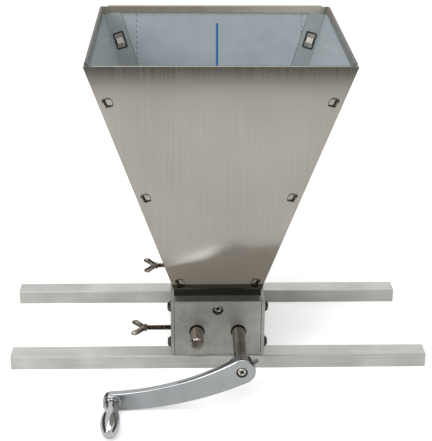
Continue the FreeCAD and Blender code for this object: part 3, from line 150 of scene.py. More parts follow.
# Bare screw steel: dark, smooth, with small bright reflections.
screwLook = {"dark": "#3f3d3a", "light": "#66635f", "roughness": 0.1, "grain": (3, 3, 3),
             "cloud": 6, "bump": 0.1}
# Bearing bronze: brownish yellow, half matt.
bronzeLook = {"dark": "#8d6a3c", "light": "#a9824e", "roughness": 0.36, "grain": (2, 2, 2),
              "cloud": 8, "bump": 0.15}
# Mirror chrome on the grip: takes its whole look from what stands round it.
gripLook = {"dark": "#b4b5b7", "light": "#bebfc1", "roughness": 0.05, "grain": (20, 20, 20),
            "cloud": 40, "bump": 0.01, "spread": 0.01}

frontSheet = grainedMetal("brushed stainless front", frontSheetLook)
sideSheet = grainedMetal("brushed stainless side", sideSheetLook)
plateMetal = grainedMetal("satin aluminium plate", plateLook)
barMetal = grainedMetal("drawn aluminium bar", barLook)
shaftMetal = grainedMetal("turned shaft steel", shaftLook)
plainSteel = grainedMetal("plain carbon steel", steelLook)
armMetal = grainedMetal("satin chrome", armLook)
zincMetal = grainedMetal("bright zinc plating", zincLook)
screwMetal = grainedMetal("bare screw steel", screwLook)
wingMetal = grainedMetal("browned nickel", wingLook)
bronze = grainedMetal("bronze", bronzeLook)
gripMetal = grainedMetal("mirror chrome", gripLook)
# Painted shade: a near-black that swallows the light, laid along the slots' edges, round the windows, in recesses
# and round screw heads.
shadeBlackLook = {"dark": "#14120f", "light": "#2b2824", "roughness": 0.55, "speck": 2}
shadeBlack, tree, shader = startMaterial("soot black", 0, shadeBlackLook["roughness"])
place = addNode(tree, "ShaderNodeTexCoord").outputs["Object"]
specks = addNode(tree, "ShaderNodeTexNoise", {"Vector": place, "Scale": 1 / (shadeBlackLook["speck"] * mm)}).outputs[0]
dark, light = linear(shadeBlackLook["dark"]), linear(shadeBlackLook["light"])
tone = addNode(tree, "ShaderNodeMixRGB", {"Fac": specks, "Color1": dark, "Color2": light}).outputs[0]
tree.links.new(tone, shader.inputs["Base Color"])
print("metals made")

# Thin polythene film left on the hopper's inside: pale blue grey, half glossy, in soft ripples.
filmLook = {"tones": ("#9ca6aa", "#b1babe"), "flangeTones": ("#889194", "#a0a9ac"), "roughness": 0.3,
            "ripple": 14, "bump": 0.4, "bumpHigh": 0.3, "mark": "#2a6cab", "markX": 2.0, "markHalf": 1.2,
            "markTop": 294, "dots": "#6d7c86", "dotsX": (-78.2, 86), "dotHalf": 0.5, "dotPitch": 2.6}


def makeFilm(name, marked, tones):
    material, tree, shader = startMaterial(name, 0, filmLook["roughness"])
    place = addNode(tree, "ShaderNodeTexCoord").outputs["Object"]
    often = 1 / (filmLook["ripple"] * mm)
    ripples = addNode(tree, "ShaderNodeTexNoise", {"Vector": place, "Scale": often, "Detail": 3}).outputs[0]
    dark, light = [linear(tone) for tone in tones]
    tone = addNode(tree, "ShaderNodeMixRGB", {"Fac": ripples, "Color1": dark, "Color2": light}).outputs[0]
    if marked:  # an upright line and two dotted ones
        split = addNode(tree, "ShaderNodeSeparateXYZ", {0: place}).outputs

        def near(x, half):  # 1 within half a width of an upright line
            away = addNode(tree, "ShaderNodeMath", {0: split[0], 1: x * mm}, operation="SUBTRACT").outputs[0]
            size = addNode(tree, "ShaderNodeMath", {0: away}, operation="ABSOLUTE").outputs[0]
            return addNode(tree, "ShaderNodeMath", {0: size, 1: half * mm}, operation="LESS_THAN").outputs[0]

        top, pitch = filmLook["markTop"] * mm, filmLook["dotPitch"] * mm
        mark, dotTone = linear(filmLook["mark"]), linear(filmLook["dots"])
        below = addNode(tree, "ShaderNodeMath", {0: split[2], 1: top}, operation="LESS_THAN").outputs[0]
        line = near(filmLook["markX"], filmLook["markHalf"])
        line = addNode(tree, "ShaderNodeMath", {0: line, 1: below}, operation="MULTIPLY").outputs[0]
        tone = addNode(tree, "ShaderNodeMixRGB", {"Fac": line, "Color1": tone, "Color2": mark}).outputs[0]
        wave = addNode(tree, "ShaderNodeMath", {0: split[2], 1: pitch}, operation="PINGPONG").outputs[0]
        dash = addNode(tree, "ShaderNodeMath", {0: wave, 1: pitch / 2}, operation="LESS_THAN").outputs[0]
        for x in filmLook["dotsX"]:
            dots = near(x, filmLook["dotHalf"])
            dots = addNode(tree, "ShaderNodeMath", {0: dots, 1: dash}, operation="MULTIPLY").outputs[0]
            tone = addNode(tree, "ShaderNodeMixRGB", {"Fac": dots, "Color1": tone, "Color2": dotTone}).outputs[0]
    tree.links.new(tone, shader.inputs["Base Color"])
    relief = {"Strength": filmLook["bump"], "Distance": filmLook["bumpHigh"] * mm, "Height": ripples}
    tree.links.new(addNode(tree, "ShaderNodeBump", relief).outputs[0], shader.inputs["Normal"])
    return material


plainFilm = makeFilm("protective film", False, filmLook["tones"])
markedFilm = makeFilm("protective film with lines", True, filmLook["tones"])
# The film on the flanges is a darker copy of the same film: painted shade.
shadedFlangeFilm = makeFilm("protective film on the flanges", False, filmLook["flangeTones"])

finishes = {
    "front_plate": plateMetal, "rear_plate": plateMetal, "left_side_plate": plateMetal,
    "right_side_plate": plateMetal, "front_rail": barMetal, "rear_rail": barMetal,
    "side_screws": screwMetal, "rail_screws": screwMetal, "hopper_front": frontSheet,
    "hopper_rear": frontSheet, "hopper_left": sideSheet, "hopper_right": sideSheet,
    "hopper_screws": zincMetal, "hopper_nuts": zincMetal, "front_drive_bush": bronze,
    "rear_drive_bush": bronze, "drive_roller": plainSteel, "idle_roller": plainSteel,
    "drive_shaft": shaftMetal, "idle_shaft": shaftMetal, "front_adjuster": shaftMetal,
    "rear_adjuster": shaftMetal, "crank_arm": armMetal, "crank_screw": zincMetal,
    "crank_set_screw": plainSteel, "grip_pin": shaftMetal, "grip": gripMetal,
    "front_wing_bolt": wingMetal, "rear_wing_bolt": wingMetal,
}
for name, node in nodes.items():
    node.data.materials.clear()
    node.data.materials.append(finishes[name])
print("finishes on all nodes")


# Faces between two loops of corners. A loop of one corner is a pole.
def bridge(shape, lower, upper):
    count = max(len(lower), len(upper))
    for i in range(count):
        j = (i + 1) % count
        corners = [lower[i % len(lower)], lower[j % len(lower)], upper[j % len(upper)], upper[i % len(upper)]]
        shape.faces.new(list(dict.fromkeys(corners)))


# Rings of a turned shape about an axis. The profile is (radius, along) in mm, and a radius of 0 closes it.
def turn(shape, profile, place, steps):
    rings = []
    for radius, along in profile:
        angles = [2 * math.pi * i / steps for i in range(steps if radius else 1)]
        spots = [Vector((radius * math.cos(a), radius * math.sin(a), along)) * mm for a in angles]
        rings.append([shape.verts.new(place @ spot) for spot in spots])
    for lower, upper in zip(rings, rings[1:]):
        bridge(shape, lower, upper)
    return rings


# Six corners of a hex socket's rim.
def hexLoop(shape, radius, height):
    angles = [math.pi * i / 3 for i in range(6)]
    return [shape.verts.new(Vector((radius * math.cos(a), radius * math.sin(a), height)) * mm) for a in angles]


# Fills between two loops of corners that lie in one plane.
def fillBetween(shape, outer, inner):
    edges = []
    for loop in (outer, inner):
        for a, b in zip(loop, loop[1:] + loop[:1]):
            edges.append(shape.edges.get((a, b)) or shape.edges.new((a, b)))
    bmesh.ops.triangle_fill(shape, edges=edges, use_beauty=True)


# A recess below a loop of corners: walls that narrow towards a flat floor.
def sinkLoop(shape, loop, place, depth, narrow):
    middle = sum((corner.co for corner in loop), Vector()) / len(loop)
    down = place.to_3x3() @ Vector((0, 0, -depth * mm))
    floor = [shape.verts.new(middle + (corner.co - middle) * narrow + down) for corner in loop]
    bridge(shape, loop, floor)
    shape.faces.new(floor)


def closeMesh(shape, name, material, angle=38):
    bmesh.ops.remove_doubles(shape, verts=shape.verts, dist=0.001 * mm)
    bmesh.ops.recalc_face_normals(shape, faces=shape.faces)
    mesh = bpy.data.meshes.new(name)
    shape.to_mesh(mesh)
    shape.free()
    mesh.shade_smooth()
    mesh.set_sharp_from_angle(angle=math.radians(angle))
    mesh.materials.append(material)
    return mesh


def addPiece(name, mesh, body, slotName, *stands):
    piece = bpy.data.objects.new(name, mesh)
    scene.collection.objects.link(piece)
    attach(piece, body)
    if stands:
        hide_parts(*stands)


quarters = ((1, 1), (-1, 1), (-1, -1), (1, -1))  # signs of a box's corners, in turn


def arc(centre, radius, start, end, count):
    angles = [start + (end - start) * i / (count - 1) for i in range(count)]
    return [(centre[0] + radius * math.cos(a), centre[1] + radius * math.sin(a)) for a in angles]


# Geometry Nodes: copies of one shape on points, each turned by the point's own facing.
def makeCopyTree():
    tree = bpy.data.node_groups.new("copies on points", "GeometryNodeTree")
    tree.interface.new_socket("Points", in_out="INPUT", socket_type="NodeSocketGeometry")
    tree.interface.new_socket("Shape", in_out="INPUT", socket_type="NodeSocketObject")
    tree.interface.new_socket("Finish", in_out="INPUT", socket_type="NodeSocketMaterial")
    tree.interface.new_socket("Mesh", in_out="OUTPUT", socket_type="NodeSocketGeometry")
    given = addNode(tree, "NodeGroupInput").outputs
    shape = addNode(tree, "GeometryNodeObjectInfo", {"Object": given["Shape"]}).outputs["Geometry"]
    named = addNode(tree, "GeometryNodeInputNamedAttribute", {"Name": "facing"}, data_type="FLOAT_VECTOR")
    turned = addNode(tree, "FunctionNodeEulerToRotation", {0: named.outputs[0]}).outputs[0]
    copies = addNode(tree, "GeometryNodeInstanceOnPoints",
                     {"Points": given["Points"], "Instance": shape, "Rotation": turned}).outputs[0]
    real = addNode(tree, "GeometryNodeRealizeInstances", {0: copies}).outputs[0]
    painted = addNode(tree, "GeometryNodeSetMaterial", {"Geometry": real, "Material": given["Finish"]})
    addNode(tree, "NodeGroupOutput", {"Mesh": painted.outputs[0]})
    return tree


# Geometry Nodes: a threaded rod from the origin up +Z, a ridge wound round a core.
def makeThreadTree():
    tree = bpy.data.node_groups.new("threaded rod", "GeometryNodeTree")
    for name in ("Core", "Pitch", "Turns", "Ridge"):
        tree.interface.new_socket(name, in_out="INPUT", socket_type="NodeSocketFloat")
    tree.interface.new_socket("Finish", in_out="INPUT", socket_type="NodeSocketMaterial")
    tree.interface.new_socket("Mesh", in_out="OUTPUT", socket_type="NodeSocketGeometry")
    given = addNode(tree, "NodeGroupInput").outputs
    pitch, turns = given["Pitch"], given["Turns"]
    length = addNode(tree, "ShaderNodeMath", {0: pitch, 1: turns}, operation="MULTIPLY").outputs[0]
    path = addNode(tree, "GeometryNodeCurveSpiral",
                   {"Resolution": 20, "Rotations": turns, "Start Radius": given["Core"],
                    "End Radius": given["Core"], "Height": length}).outputs[0]
    upright = addNode(tree, "GeometryNodeSetCurveNormal", {"Curve": path}, mode="Z_UP").outputs[0]
    ridge = addNode(tree, "GeometryNodeCurvePrimitiveCircle", {"Resolution": 4, "Radius": given["Ridge"]})
    wound = addNode(tree, "GeometryNodeCurveToMesh",
                    {"Curve": upright, "Profile Curve": ridge.outputs[0], "Fill Caps": True}).outputs[0]
    core = addNode(tree, "GeometryNodeMeshCylinder",
                   {"Vertices": 24, "Radius": given["Core"], "Depth": length}).outputs[0]
    half = addNode(tree, "ShaderNodeMath", {0: length, 1: 0.5}, operation="MULTIPLY").outputs[0]
    lift = addNode(tree, "ShaderNodeCombineXYZ", {"Z": half}).outputs[0]
    raised = addNode(tree, "GeometryNodeTransform", {"Geometry": core, "Translation": lift}).outputs[0]
    joined = addNode(tree, "GeometryNodeJoinGeometry", {0: wound})
    tree.links.new(raised, joined.inputs[0])
    real = addNode(tree, "GeometryNodeRealizeInstances", {0: joined.outputs[0]}).outputs[0]
    painted = addNode(tree, "GeometryNodeSetMaterial", {"Geometry": real, "Material": given["Finish"]})
    addNode(tree, "NodeGroupOutput", {"Mesh": painted.outputs[0]})
    return tree


def grow(tree, mesh, settings):
    seed = bpy.data.objects.new("seed", mesh)
    scene.collection.objects.link(seed)
    modifier = seed.modifiers.new("grow", "NODES")
    modifier.node_group = tree
    for item in tree.interface.items_tree:
        if item.in_out == "INPUT" and item.name in settings:
            modifier[item.identifier] = settings[item.name]
    grown = bpy.data.meshes.new_from_object(seed.evaluated_get(bpy.context.evaluated_depsgraph_get()))
    bpy.data.objects.remove(seed)
    return grown


copyTree = makeCopyTree()
threadTree = makeThreadTree()


# A piece of copies of a mesh at places, each (x, y, z, turn about X, Y, Z) in mm and degrees.
def addCopies(name, mesh, places, material, body, slotName, *stands):
    master = bpy.data.objects.new(name + "_master", mesh)
    scene.collection.objects.link(master)
    points = bpy.data.meshes.new(name + "_points")
    points.from_pydata([[v * mm for v in place[:3]] for place in places], [], [])
    facing = points.attributes.new("facing", "FLOAT_VECTOR", "POINT")
    for value, place in zip(facing.data, places):
        value.vector = [math.radians(v) for v in place[3:]]
    grown = grow(copyTree, points, {"Shape": master, "Finish": material})
    bpy.data.objects.remove(master)
    addPiece(name, grown, body, slotName, *stands)


def threadedRod(core, pitch, length, ridge, material):
    settings = {"Core": core * mm, "Pitch": pitch * mm, "Turns": length / pitch, "Ridge": ridge * mm,
                "Finish": material}
    return grow(threadTree, bpy.data.meshes.new("rod"), settings)


# Pan head with a cross recess, seat at the origin, head up +Z, shank down.
panScrew = {"head": 4, "height": 2.6, "round": 1.25, "roundBelow": 1.3, "crown": 2.75, "shank": 1.95, "reach": 11,
            "crossReach": 2.5, "crossHalf": 0.9, "crossDeep": 1.5, "crossNarrow": 0.7, "steps": 36}
# Painted shade round and in a pan head: a black collar in the counterbore's shade, and a black floor in the cross.
panShade = {"inner": 4.02, "outer": 5.18, "up": 2.1, "floorDown": 0.6, "floorThick": 0.5,
            "floorShare": (0.9, 0.92)}


def makePanScrew():
    s = panScrew
    shape = bmesh.new()
    roundFrom = s["height"] - s["roundBelow"]
    profile = [(0, -s["reach"]), (s["shank"], -s["reach"]), (s["shank"], 0), (s["head"], 0),
               (s["head"], roundFrom)]
    profile += arc((s["crown"], roundFrom), s["round"], math.radians(10), math.pi / 2, 6)
    rings = turn(shape, profile, Matrix(), s["steps"])
    top = profile[-1][1] * mm
    a, b = s["crossHalf"], s["crossReach"]
    star = [(b, -a), (b, a), (a, a), (a, b), (-a, b), (-a, a),
            (-b, a), (-b, -a), (-a, -a), (-a, -b), (a, -b), (a, -a)]
    loop = [shape.verts.new((x * mm, y * mm, top)) for x, y in star]
    fillBetween(shape, rings[-1], loop)
    sinkLoop(shape, loop, Matrix(), s["crossDeep"], s["crossNarrow"])
    return closeMesh(shape, "panScrew", zincMetal)


def makePanShade():
    d = panShade
    shape = bmesh.new()
    turn(shape, [(d["inner"], 0), (d["outer"], 0), (d["outer"], d["up"]), (d["inner"], d["up"]), (d["inner"], 0)],
         Matrix(), panScrew["steps"])
    top = panScrew["height"] - d["floorDown"]
    half, reach = panScrew["crossHalf"], panScrew["crossReach"]
    for wide, long in ((half, reach), (reach, half)):  # the two bars of the cross
        x, y = wide * d["floorShare"][0], long * d["floorShare"][1]
        upper, lower = [[shape.verts.new(Vector((sx * x, sy * y, z)) * mm) for sx, sy in quarters]
                        for z in (top, top - d["floorThick"])]
        shape.faces.new(upper)
        shape.faces.new(lower)
        bridge(shape, lower, upper)
    return closeMesh(shape, "panShade", shadeBlack)


# A head with a hex socket, seat at the origin, head up +Z.
def makeSocketScrew(name, s):
    shape = bmesh.new()
    profile = [(0, -s["reach"]), (s["shank"], -s["reach"]), (s["shank"], 0)] + s["profile"]
    rings = turn(shape, profile, Matrix(), s["steps"])
    loop = hexLoop(shape, s["hex"], profile[-1][1])
    fillBetween(shape, rings[-1], loop)
    sinkLoop(shape, loop, Matrix(), s["hexDeep"], s["hexNarrow"])
    return closeMesh(shape, name, screwMetal, 30)


# Button heads on the side plates, and the cylinder heads below the rails.
dome = [(5.25, 0), (5.25, 0.4), (5.15, 0.9), (4.85, 1.6), (4.35, 2.25), (3.7, 2.75), (3.0, 3.1), (2.5, 3.22)]
sideScrew = {"shank": 2.9, "reach": 12, "profile": dome, "hex": 2.3, "hexDeep": 2, "hexNarrow": 0.96, "steps": 36,
             "x": 44.5, "y": 66.5, "z": (65, 26)}
railScrew = {"shank": 2.4, "reach": 16, "profile": [(4.25, 0), (4.25, 4.6), (3.85, 5)], "hex": 2.3, "hexDeep": 2.5,
             "hexNarrow": 0.96, "steps": 36, "x": 12, "y": 66.5, "z": 5.6}
# Painted shade at the edges of a side screw, as profiles.
sideShade = {"seat": [(5.0, 0), (5.3, 0), (5.3, 0.8), (5.1, 0.9), (5.0, 0)],
             "socketRim": [(2.35, 3.1), (2.95, 3.0), (2.95, 3.16), (2.45, 3.26), (2.35, 3.1)],
             "socketFloor": [(0, 1.3), (1.9, 1.3), (1.9, 1.8), (0, 1.8)]}
outward = Matrix.Rotation(math.pi / 2, 4, "Y")  # from +Z to +X


def makeSideShade():
    shape = bmesh.new()
    for part, profile in sideShade.items():
        turn(shape, profile, Matrix(), 24 if part == "socketFloor" else 36)
    return closeMesh(shape, "sideShade", shadeBlack)


panMesh = makePanScrew()
hopperPlaces = [(0, -67.5, 63.6, 90, 22, 0), (0, 67.5, 63.6, -90, 8, 0)]
addCopies("hopperScrews", panMesh, hopperPlaces, zincMetal, "frame", "zinc_steel", "hopper_screws")
addCopies("hopperScrewShades", makePanShade(), hopperPlaces, shadeBlack, "frame", "screw_steel")
crankPlaces = [(19.8, -140.5, 40.3, 90, 30, 0)]
addCopies("crankScrewShade", makePanShade(), crankPlaces, shadeBlack, "drive", "screw_steel")
addCopies("crankScrew", panMesh, crankPlaces, zincMetal, "drive", "zinc_steel", "crank_screw")
sidePlaces = [(side * sideScrew["x"], end * sideScrew["y"], z, 17 * end + z, 0, 90 - 90 * side)
              for side in (-1, 1) for end in (-1, 1) for z in sideScrew["z"]]
sideMesh, sideShadeMesh = makeSocketScrew("sideScrew", sideScrew), makeSideShade()
for mesh in (sideMesh, sideShadeMesh):
    mesh.transform(outward)
addCopies("sideScrews", sideMesh, sidePlaces, screwMetal, "frame", "screw_steel", "side_screws")
addCopies("sideScrewShades", sideShadeMesh, sidePlaces, shadeBlack, "frame", "screw_steel")
railPlaces = [(end * railScrew["x"], side * railScrew["y"], railScrew["z"], 180, 0, 20 * end)
              for side in (-1, 1) for end in (-1, 1)]
addCopies("railScrews", makeSocketScrew("railScrew", railScrew), railPlaces, screwMetal, "frame", "screw_steel",
          "rail_screws")
print("screws set")

# Crank arm, drawn about the hub with the small end towards -X, Y up in the drawing.
crank = {"x": 19.8, "y": -143.5, "z": 40.3, "reach": 121, "droop": 14.943, "hub": 12.5, "end": 8.5,
         "upper": 240, "lower": 280, "thick": 7, "deep": 11, "edge": 1.4, "backEdge": 0.5, "hubEdge": 0.6,
         "sink": 5.2, "sinkDeep": 3, "boss": 7.8, "bossOut": 5.5, "bossEdge": 0.7, "bossIn": 1, "bossFoot": 8.2,
         "fillet": 1.2, "socket": 6.4}


def armOutline():
    c = crank

    def centreOf(fromHub, fromEnd):
        along = (fromHub ** 2 - fromEnd ** 2 + c["reach"] ** 2) / (2 * c["reach"])
        return (-along, math.sqrt(fromHub ** 2 - along ** 2))

    above = centreOf(c["upper"] + c["hub"], c["upper"] + c["end"])
    below = centreOf(c["lower"] - c["hub"], c["lower"] - c["end"])
    endAt = (-c["reach"], 0)

    def heading(start, target):
        return math.atan2(target[1] - start[1], target[0] - start[0])

    hubTop, endTop = heading((0, 0), above), heading(endAt, above)
    hubLow, endLow = heading(below, (0, 0)), heading(below, endAt)
    spots = [(p, (p[0] / c["hub"], p[1] / c["hub"])) for p in arc((0, 0), c["hub"], hubLow, hubTop, 28)]
    edge = arc(above, c["upper"], heading(above, (0, 0)), heading(above, endAt), 40)[1:-1]
    spots += [(p, ((above[0] - p[0]) / c["upper"], (above[1] - p[1]) / c["upper"])) for p in edge]
    small = arc(endAt, c["end"], endTop, endLow + 2 * math.pi, 28)
    spots += [(p, ((p[0] - endAt[0]) / c["end"], p[1] / c["end"])) for p in small]
    foot = arc(below, c["lower"], endLow, hubLow, 40)[1:-1]
    spots += [(p, ((p[0] - below[0]) / c["lower"], (p[1] - below[1]) / c["lower"])) for p in foot]
    return spots


def makeCrankArm():
    c = crank
    shape = bmesh.new()
    # drawing X, Y and depth to the frame's X, Z and Y
    place = (Matrix.Translation(Vector((c["x"], c["y"], c["z"])) * mm)
             @ Matrix.Rotation(math.radians(-c["droop"]), 4, "Y") @ Matrix.Rotation(math.pi / 2, 4, "X"))
    levels = [(c["backEdge"], c["thick"]), (0, c["thick"] - c["backEdge"])]
    levels += [(c["edge"] * (1 - math.cos(a)), c["edge"] * (1 - math.sin(a)))
               for a in [math.pi / 2 * i / 6 for i in range(7)]]
    outline = armOutline()
    rings = []
    for inset, depth in levels:
        spots = [Vector((p[0] - n[0] * inset, p[1] - n[1] * inset, -depth)) * mm for p, n in outline]
        rings.append([shape.verts.new(place @ spot) for spot in spots])
    for lower, upper in zip(rings, rings[1:]):
        bridge(shape, lower, upper)
    shape.faces.new(rings[0])
    face = [shape.verts.new(place @ (Vector((x, y, 0)) * mm)) for x, y in
            arc((0, 0), c["sink"], 0, 2 * math.pi * 47 / 48, 48)]
    fillBetween(shape, rings[-1], face)
    sinkLoop(shape, face, place, c["sinkDeep"], 1)
    hub = [(c["socket"], -c["thick"]), (c["hub"], -c["thick"]), (c["hub"], c["hubEdge"] - c["deep"]),
           (c["hub"] - c["hubEdge"], -c["deep"]), (c["socket"], -c["deep"]), (c["socket"], -c["thick"])]
    turn(shape, hub, place, 64)
    bossPlace = place @ Matrix.Translation(Vector((-c["reach"], 0, 0)) * mm)
    root = arc((c["boss"] - 0.25 + c["fillet"] * 0.6, c["fillet"]), c["fillet"], -math.pi / 2, -math.pi, 5)
    boss = [(0, -c["bossIn"]), (root[0][0], -c["bossIn"])] + [(min(r, c["bossFoot"]), d) for r, d in root]
    boss += [(c["boss"] - 0.02, 2), (c["boss"], c["bossOut"] - c["bossEdge"]),
             (c["boss"] - c["bossEdge"], c["bossOut"]), (0, c["bossOut"])]
    turn(shape, boss, bossPlace, 56)
    return closeMesh(shape, "crankArm", armMetal, 30)


addPiece("crankArm", makeCrankArm(), "drive", "crank_chrome", "crank_arm")

# Revolving grip: neck, hollow, barrel and rounded tip, turned about its axis.
grip = {"x": -97.108, "y": -149.3, "z": 9.1, "length": 43, "neck": 6.4, "neckEdge": (0.5, 0.4), "bulb": 8.8,
        "bulbAt": 24, "barrel": 40, "hollow": 20}


def makeGrip():
    g = grip
    middle = (g["bulb"] - g["barrel"], g["bulbAt"])
    # the hollow's centre lies outside, as far from the barrel's centre as both radii together
    reach = g["barrel"] + g["hollow"]
    across = g["neck"] + g["hollow"]
    rise = math.sqrt(reach ** 2 - (across - middle[0]) ** 2)
    hollowAt = (across, g["bulbAt"] - rise)
    meet = math.atan2(hollowAt[1] - middle[1], hollowAt[0] - middle[0])
    profile = [(0, 0), (g["neck"] - g["neckEdge"][0], 0), (g["neck"], g["neckEdge"][1])]
    profile += arc(hollowAt, g["hollow"], math.pi, math.pi + meet, 10)
    # the tip's round touches the barrel and the end face's plane on the axis
    least, most = 1.0, g["bulb"]
    for step in range(40):
        tip = (least + most) / 2
        tooLarge = math.hypot(middle[0], g["length"] - tip - middle[1]) > g["barrel"] - tip
        least, most = (least, tip) if tooLarge else (tip, most)
    tipAt = (0, g["length"] - tip)
    touch = math.atan2(tipAt[1] - middle[1], tipAt[0] - middle[0])
    profile += arc(middle, g["barrel"], meet, touch, 24)[1:]
    profile += arc(tipAt, tip, touch, math.pi / 2, 16)[1:-1] + [(0, g["length"])]
    print("grip tip radius", round(tip, 2))
    shape = bmesh.new()
    place = Matrix.Translation(Vector((g["x"], g["y"], g["z"])) * mm) @ Matrix.Rotation(math.pi / 2, 4, "X")
    turn(shape, profile, place, 64)
    return closeMesh(shape, "grip", gripMetal, 40)


addPiece("crankGrip", makeGrip(), "crank_grip", "crank_chrome", "grip")

# Set screw: a threaded stud on the hub's rim with a socket in its end.
setScrew = {"y": -136.5, "angle": 31, "from": 6.4, "to": 17, "core": 1.68, "pitch": 0.7, "ridge": 0.3,
            "threadEnd": 0.7, "tip": [(0, -1), (1.68, -1), (1.78, -0.4), (1.38, 0)], "hex": 0.95, "hexDeep": 1.2,
            "hexNarrow": 0.95}


def makeSetScrew():
    s = setScrew
    length = s["to"] - s["from"]
    shape = bmesh.new()
    shape.from_mesh(threadedRod(s["core"], s["pitch"], length - s["threadEnd"], s["ridge"], plainSteel))
    rings = turn(shape, [(radius, length + along) for radius, along in s["tip"]], Matrix(), 24)
    loop = hexLoop(shape, s["hex"], length)
    fillBetween(shape, rings[-1], loop)
    sinkLoop(shape, loop, Matrix(), s["hexDeep"], s["hexNarrow"])
    shape.transform(Matrix.Translation(Vector((crank["x"], s["y"], crank["z"])) * mm)
                    @ Matrix.Rotation(math.radians(90 - s["angle"]), 4, "Y")
                    @ Matrix.Translation((0, 0, s["from"] * mm)))
    return closeMesh(shape, "setScrew", plainSteel, 25)


addPiece("setScrew", makeSetScrew(), "drive", "zinc_steel", "crank_set_screw")
print("crank made")

# Wing bolts, tip at the origin, wings towards -X.
wing = {"rod": 30, "core": 2.05, "pitch": 0.8, "ridge": 0.44, "threadIn": 0.4, "thick": 3.4, "edge": 0.9,
        "root": (0.6, 6.6), "tip": (10.0, 15.6), "reach": (11.4, 9.2), "rootRadius": 1.2, "round": 1.9,
        "roundMost": 2.2, "point": [(0, 0), (1.65, 0), (2.05, 0.6), (2.05, 1.3), (0, 1.3)],
        "boss": [(0, -0.2), (2.05, -0.2), (3.4, 0), (3.8, 0.4), (3.8, 1.4), (3.2, 1.8), (3.85, 5.8),
                 (3.4, 6.45), (2.8, 6.6), (0, 6.6)]}
wingPlaces = {"front": (-37.5, -64, 40.3, -85), "rear": (-30.1, 64, 40.3, 24)}


# One wing's outline with a rounded tip, in the XZ plane.
def wingOutline(side):
    w = wing
    start = -w["rod"]
    corners = [Vector((start - w["root"][0], w["rootRadius"])), Vector((start - w["tip"][0], w["reach"][0])),
               Vector((start - w["tip"][1], w["reach"][1])), Vector((start - w["root"][1], w["rootRadius"]))]
    spots = [corners[0]]
    for before, corner, after in ((0, 1, 2), (1, 2, 3)):
        a = (corners[before] - corners[corner]).normalized()
        b = (corners[after] - corners[corner]).normalized()
        half = a.angle(b) / 2
        cut = min(w["round"] / math.tan(half), w["roundMost"])
        for i in range(6):  # a soft curve through the cut corner
            t = i / 5
            spots.append(corners[corner] + a * cut * (1 - t) ** 2 + b * cut * t ** 2)
    spots.append(corners[3])
    return [(p.x, p.y * side) for p in spots]


def makeWingBolt(name, x, y, z, angle):
    w = wing
    shape = bmesh.new()
    away = Matrix.Rotation(-math.pi / 2, 4, "Y")  # from +Z to -X
    shape.from_mesh(threadedRod(w["core"], w["pitch"], w["rod"] - 2 * w["threadIn"], w["ridge"], wingMetal))
    shape.transform(Matrix.Translation((-w["threadIn"] * mm, 0, 0)) @ away)
    turn(shape, w["boss"], Matrix.Translation((-w["rod"] * mm, 0, 0)) @ away, 32)
    turn(shape, w["point"], away, 24)
    for side in (-1, 1):
        blade = bmesh.new()
        half = w["thick"] / 2
        near, far = [[blade.verts.new(Vector((px, py, pz)) * mm) for px, pz in wingOutline(side)]
                     for py in (-half, half)]
        faces = [blade.faces.new(near), blade.faces.new(far)]
        bridge(blade, near, far)
        bmesh.ops.recalc_face_normals(blade, faces=blade.faces)
        rims = [edge for face in faces for edge in face.edges]
        bmesh.ops.bevel(blade, geom=rims, offset=w["edge"] * mm, segments=3, profile=0.5, affect="EDGES",
                        clamp_overlap=True)
        part = bpy.data.meshes.new("blade")
        blade.to_mesh(part)
        blade.free()
        shape.from_mesh(part)
        bpy.data.meshes.remove(part)
    shape.transform(Matrix.Translation(Vector((x, y, z)) * mm) @ Matrix.Rotation(math.radians(angle), 4, "X"))
    return closeMesh(shape, name, wingMetal, 35)


for end, place in wingPlaces.items():
    name = end + "WingBolt"
    addPiece(name, makeWingBolt(name, *place), "lock_" + end, "zinc_steel", end + "_wing_bolt")
print("wing bolts made")

# Film sheets on the hopper's inner faces, taken from the panels so that they follow slots and windows.
hopper = {"frontLean": 10.49, "sideLean": 17.31, "cornerLean": 17.03, "throatY": 60, "throatX": 41,
          "foldZ": 85.2, "sideFoldZ": 76.7, "foldX": 43.65, "sheet": 1, "flange": 18, "flangeGap": 0.1,
          "film": 0.06, "filmLift": 0.02, "filmFromFlange": 0.4, "facing": 0.999, "within": 0.03}


def makeFilmSheet(name, nodeName, planes, keeps, material):
    shape = bmesh.new()
    shape.from_mesh(nodes[nodeName].data)
    bmesh.ops.remove_doubles(shape, verts=shape.verts, dist=0.002 * mm)
    shape.normal_update()

    def lies(face):
        middle = face.calc_center_median()
        return any(face.normal.dot(n) > hopper["facing"] and abs((middle - p).dot(n)) < hopper["within"] * mm
                   for p, n in planes)

    bmesh.ops.delete(shape, geom=[f for f in shape.faces if not lies(f)], context="FACES")
    for point, normal in keeps:
        everything = shape.verts[:] + shape.edges[:] + shape.faces[:]
        bmesh.ops.bisect_plane(shape, geom=everything, plane_co=point, plane_no=normal, clear_inner=True)
    shape.normal_update()
    for vert in shape.verts:
        vert.co += vert.normal * hopper["filmLift"] * mm
    made = bmesh.ops.extrude_face_region(shape, geom=shape.faces[:])["geom"]
    for vert in [item for item in made if isinstance(item, bmesh.types.BMVert)]:
        vert.co += vert.normal * hopper["film"] * mm
    return closeMesh(shape, name, material, 20)


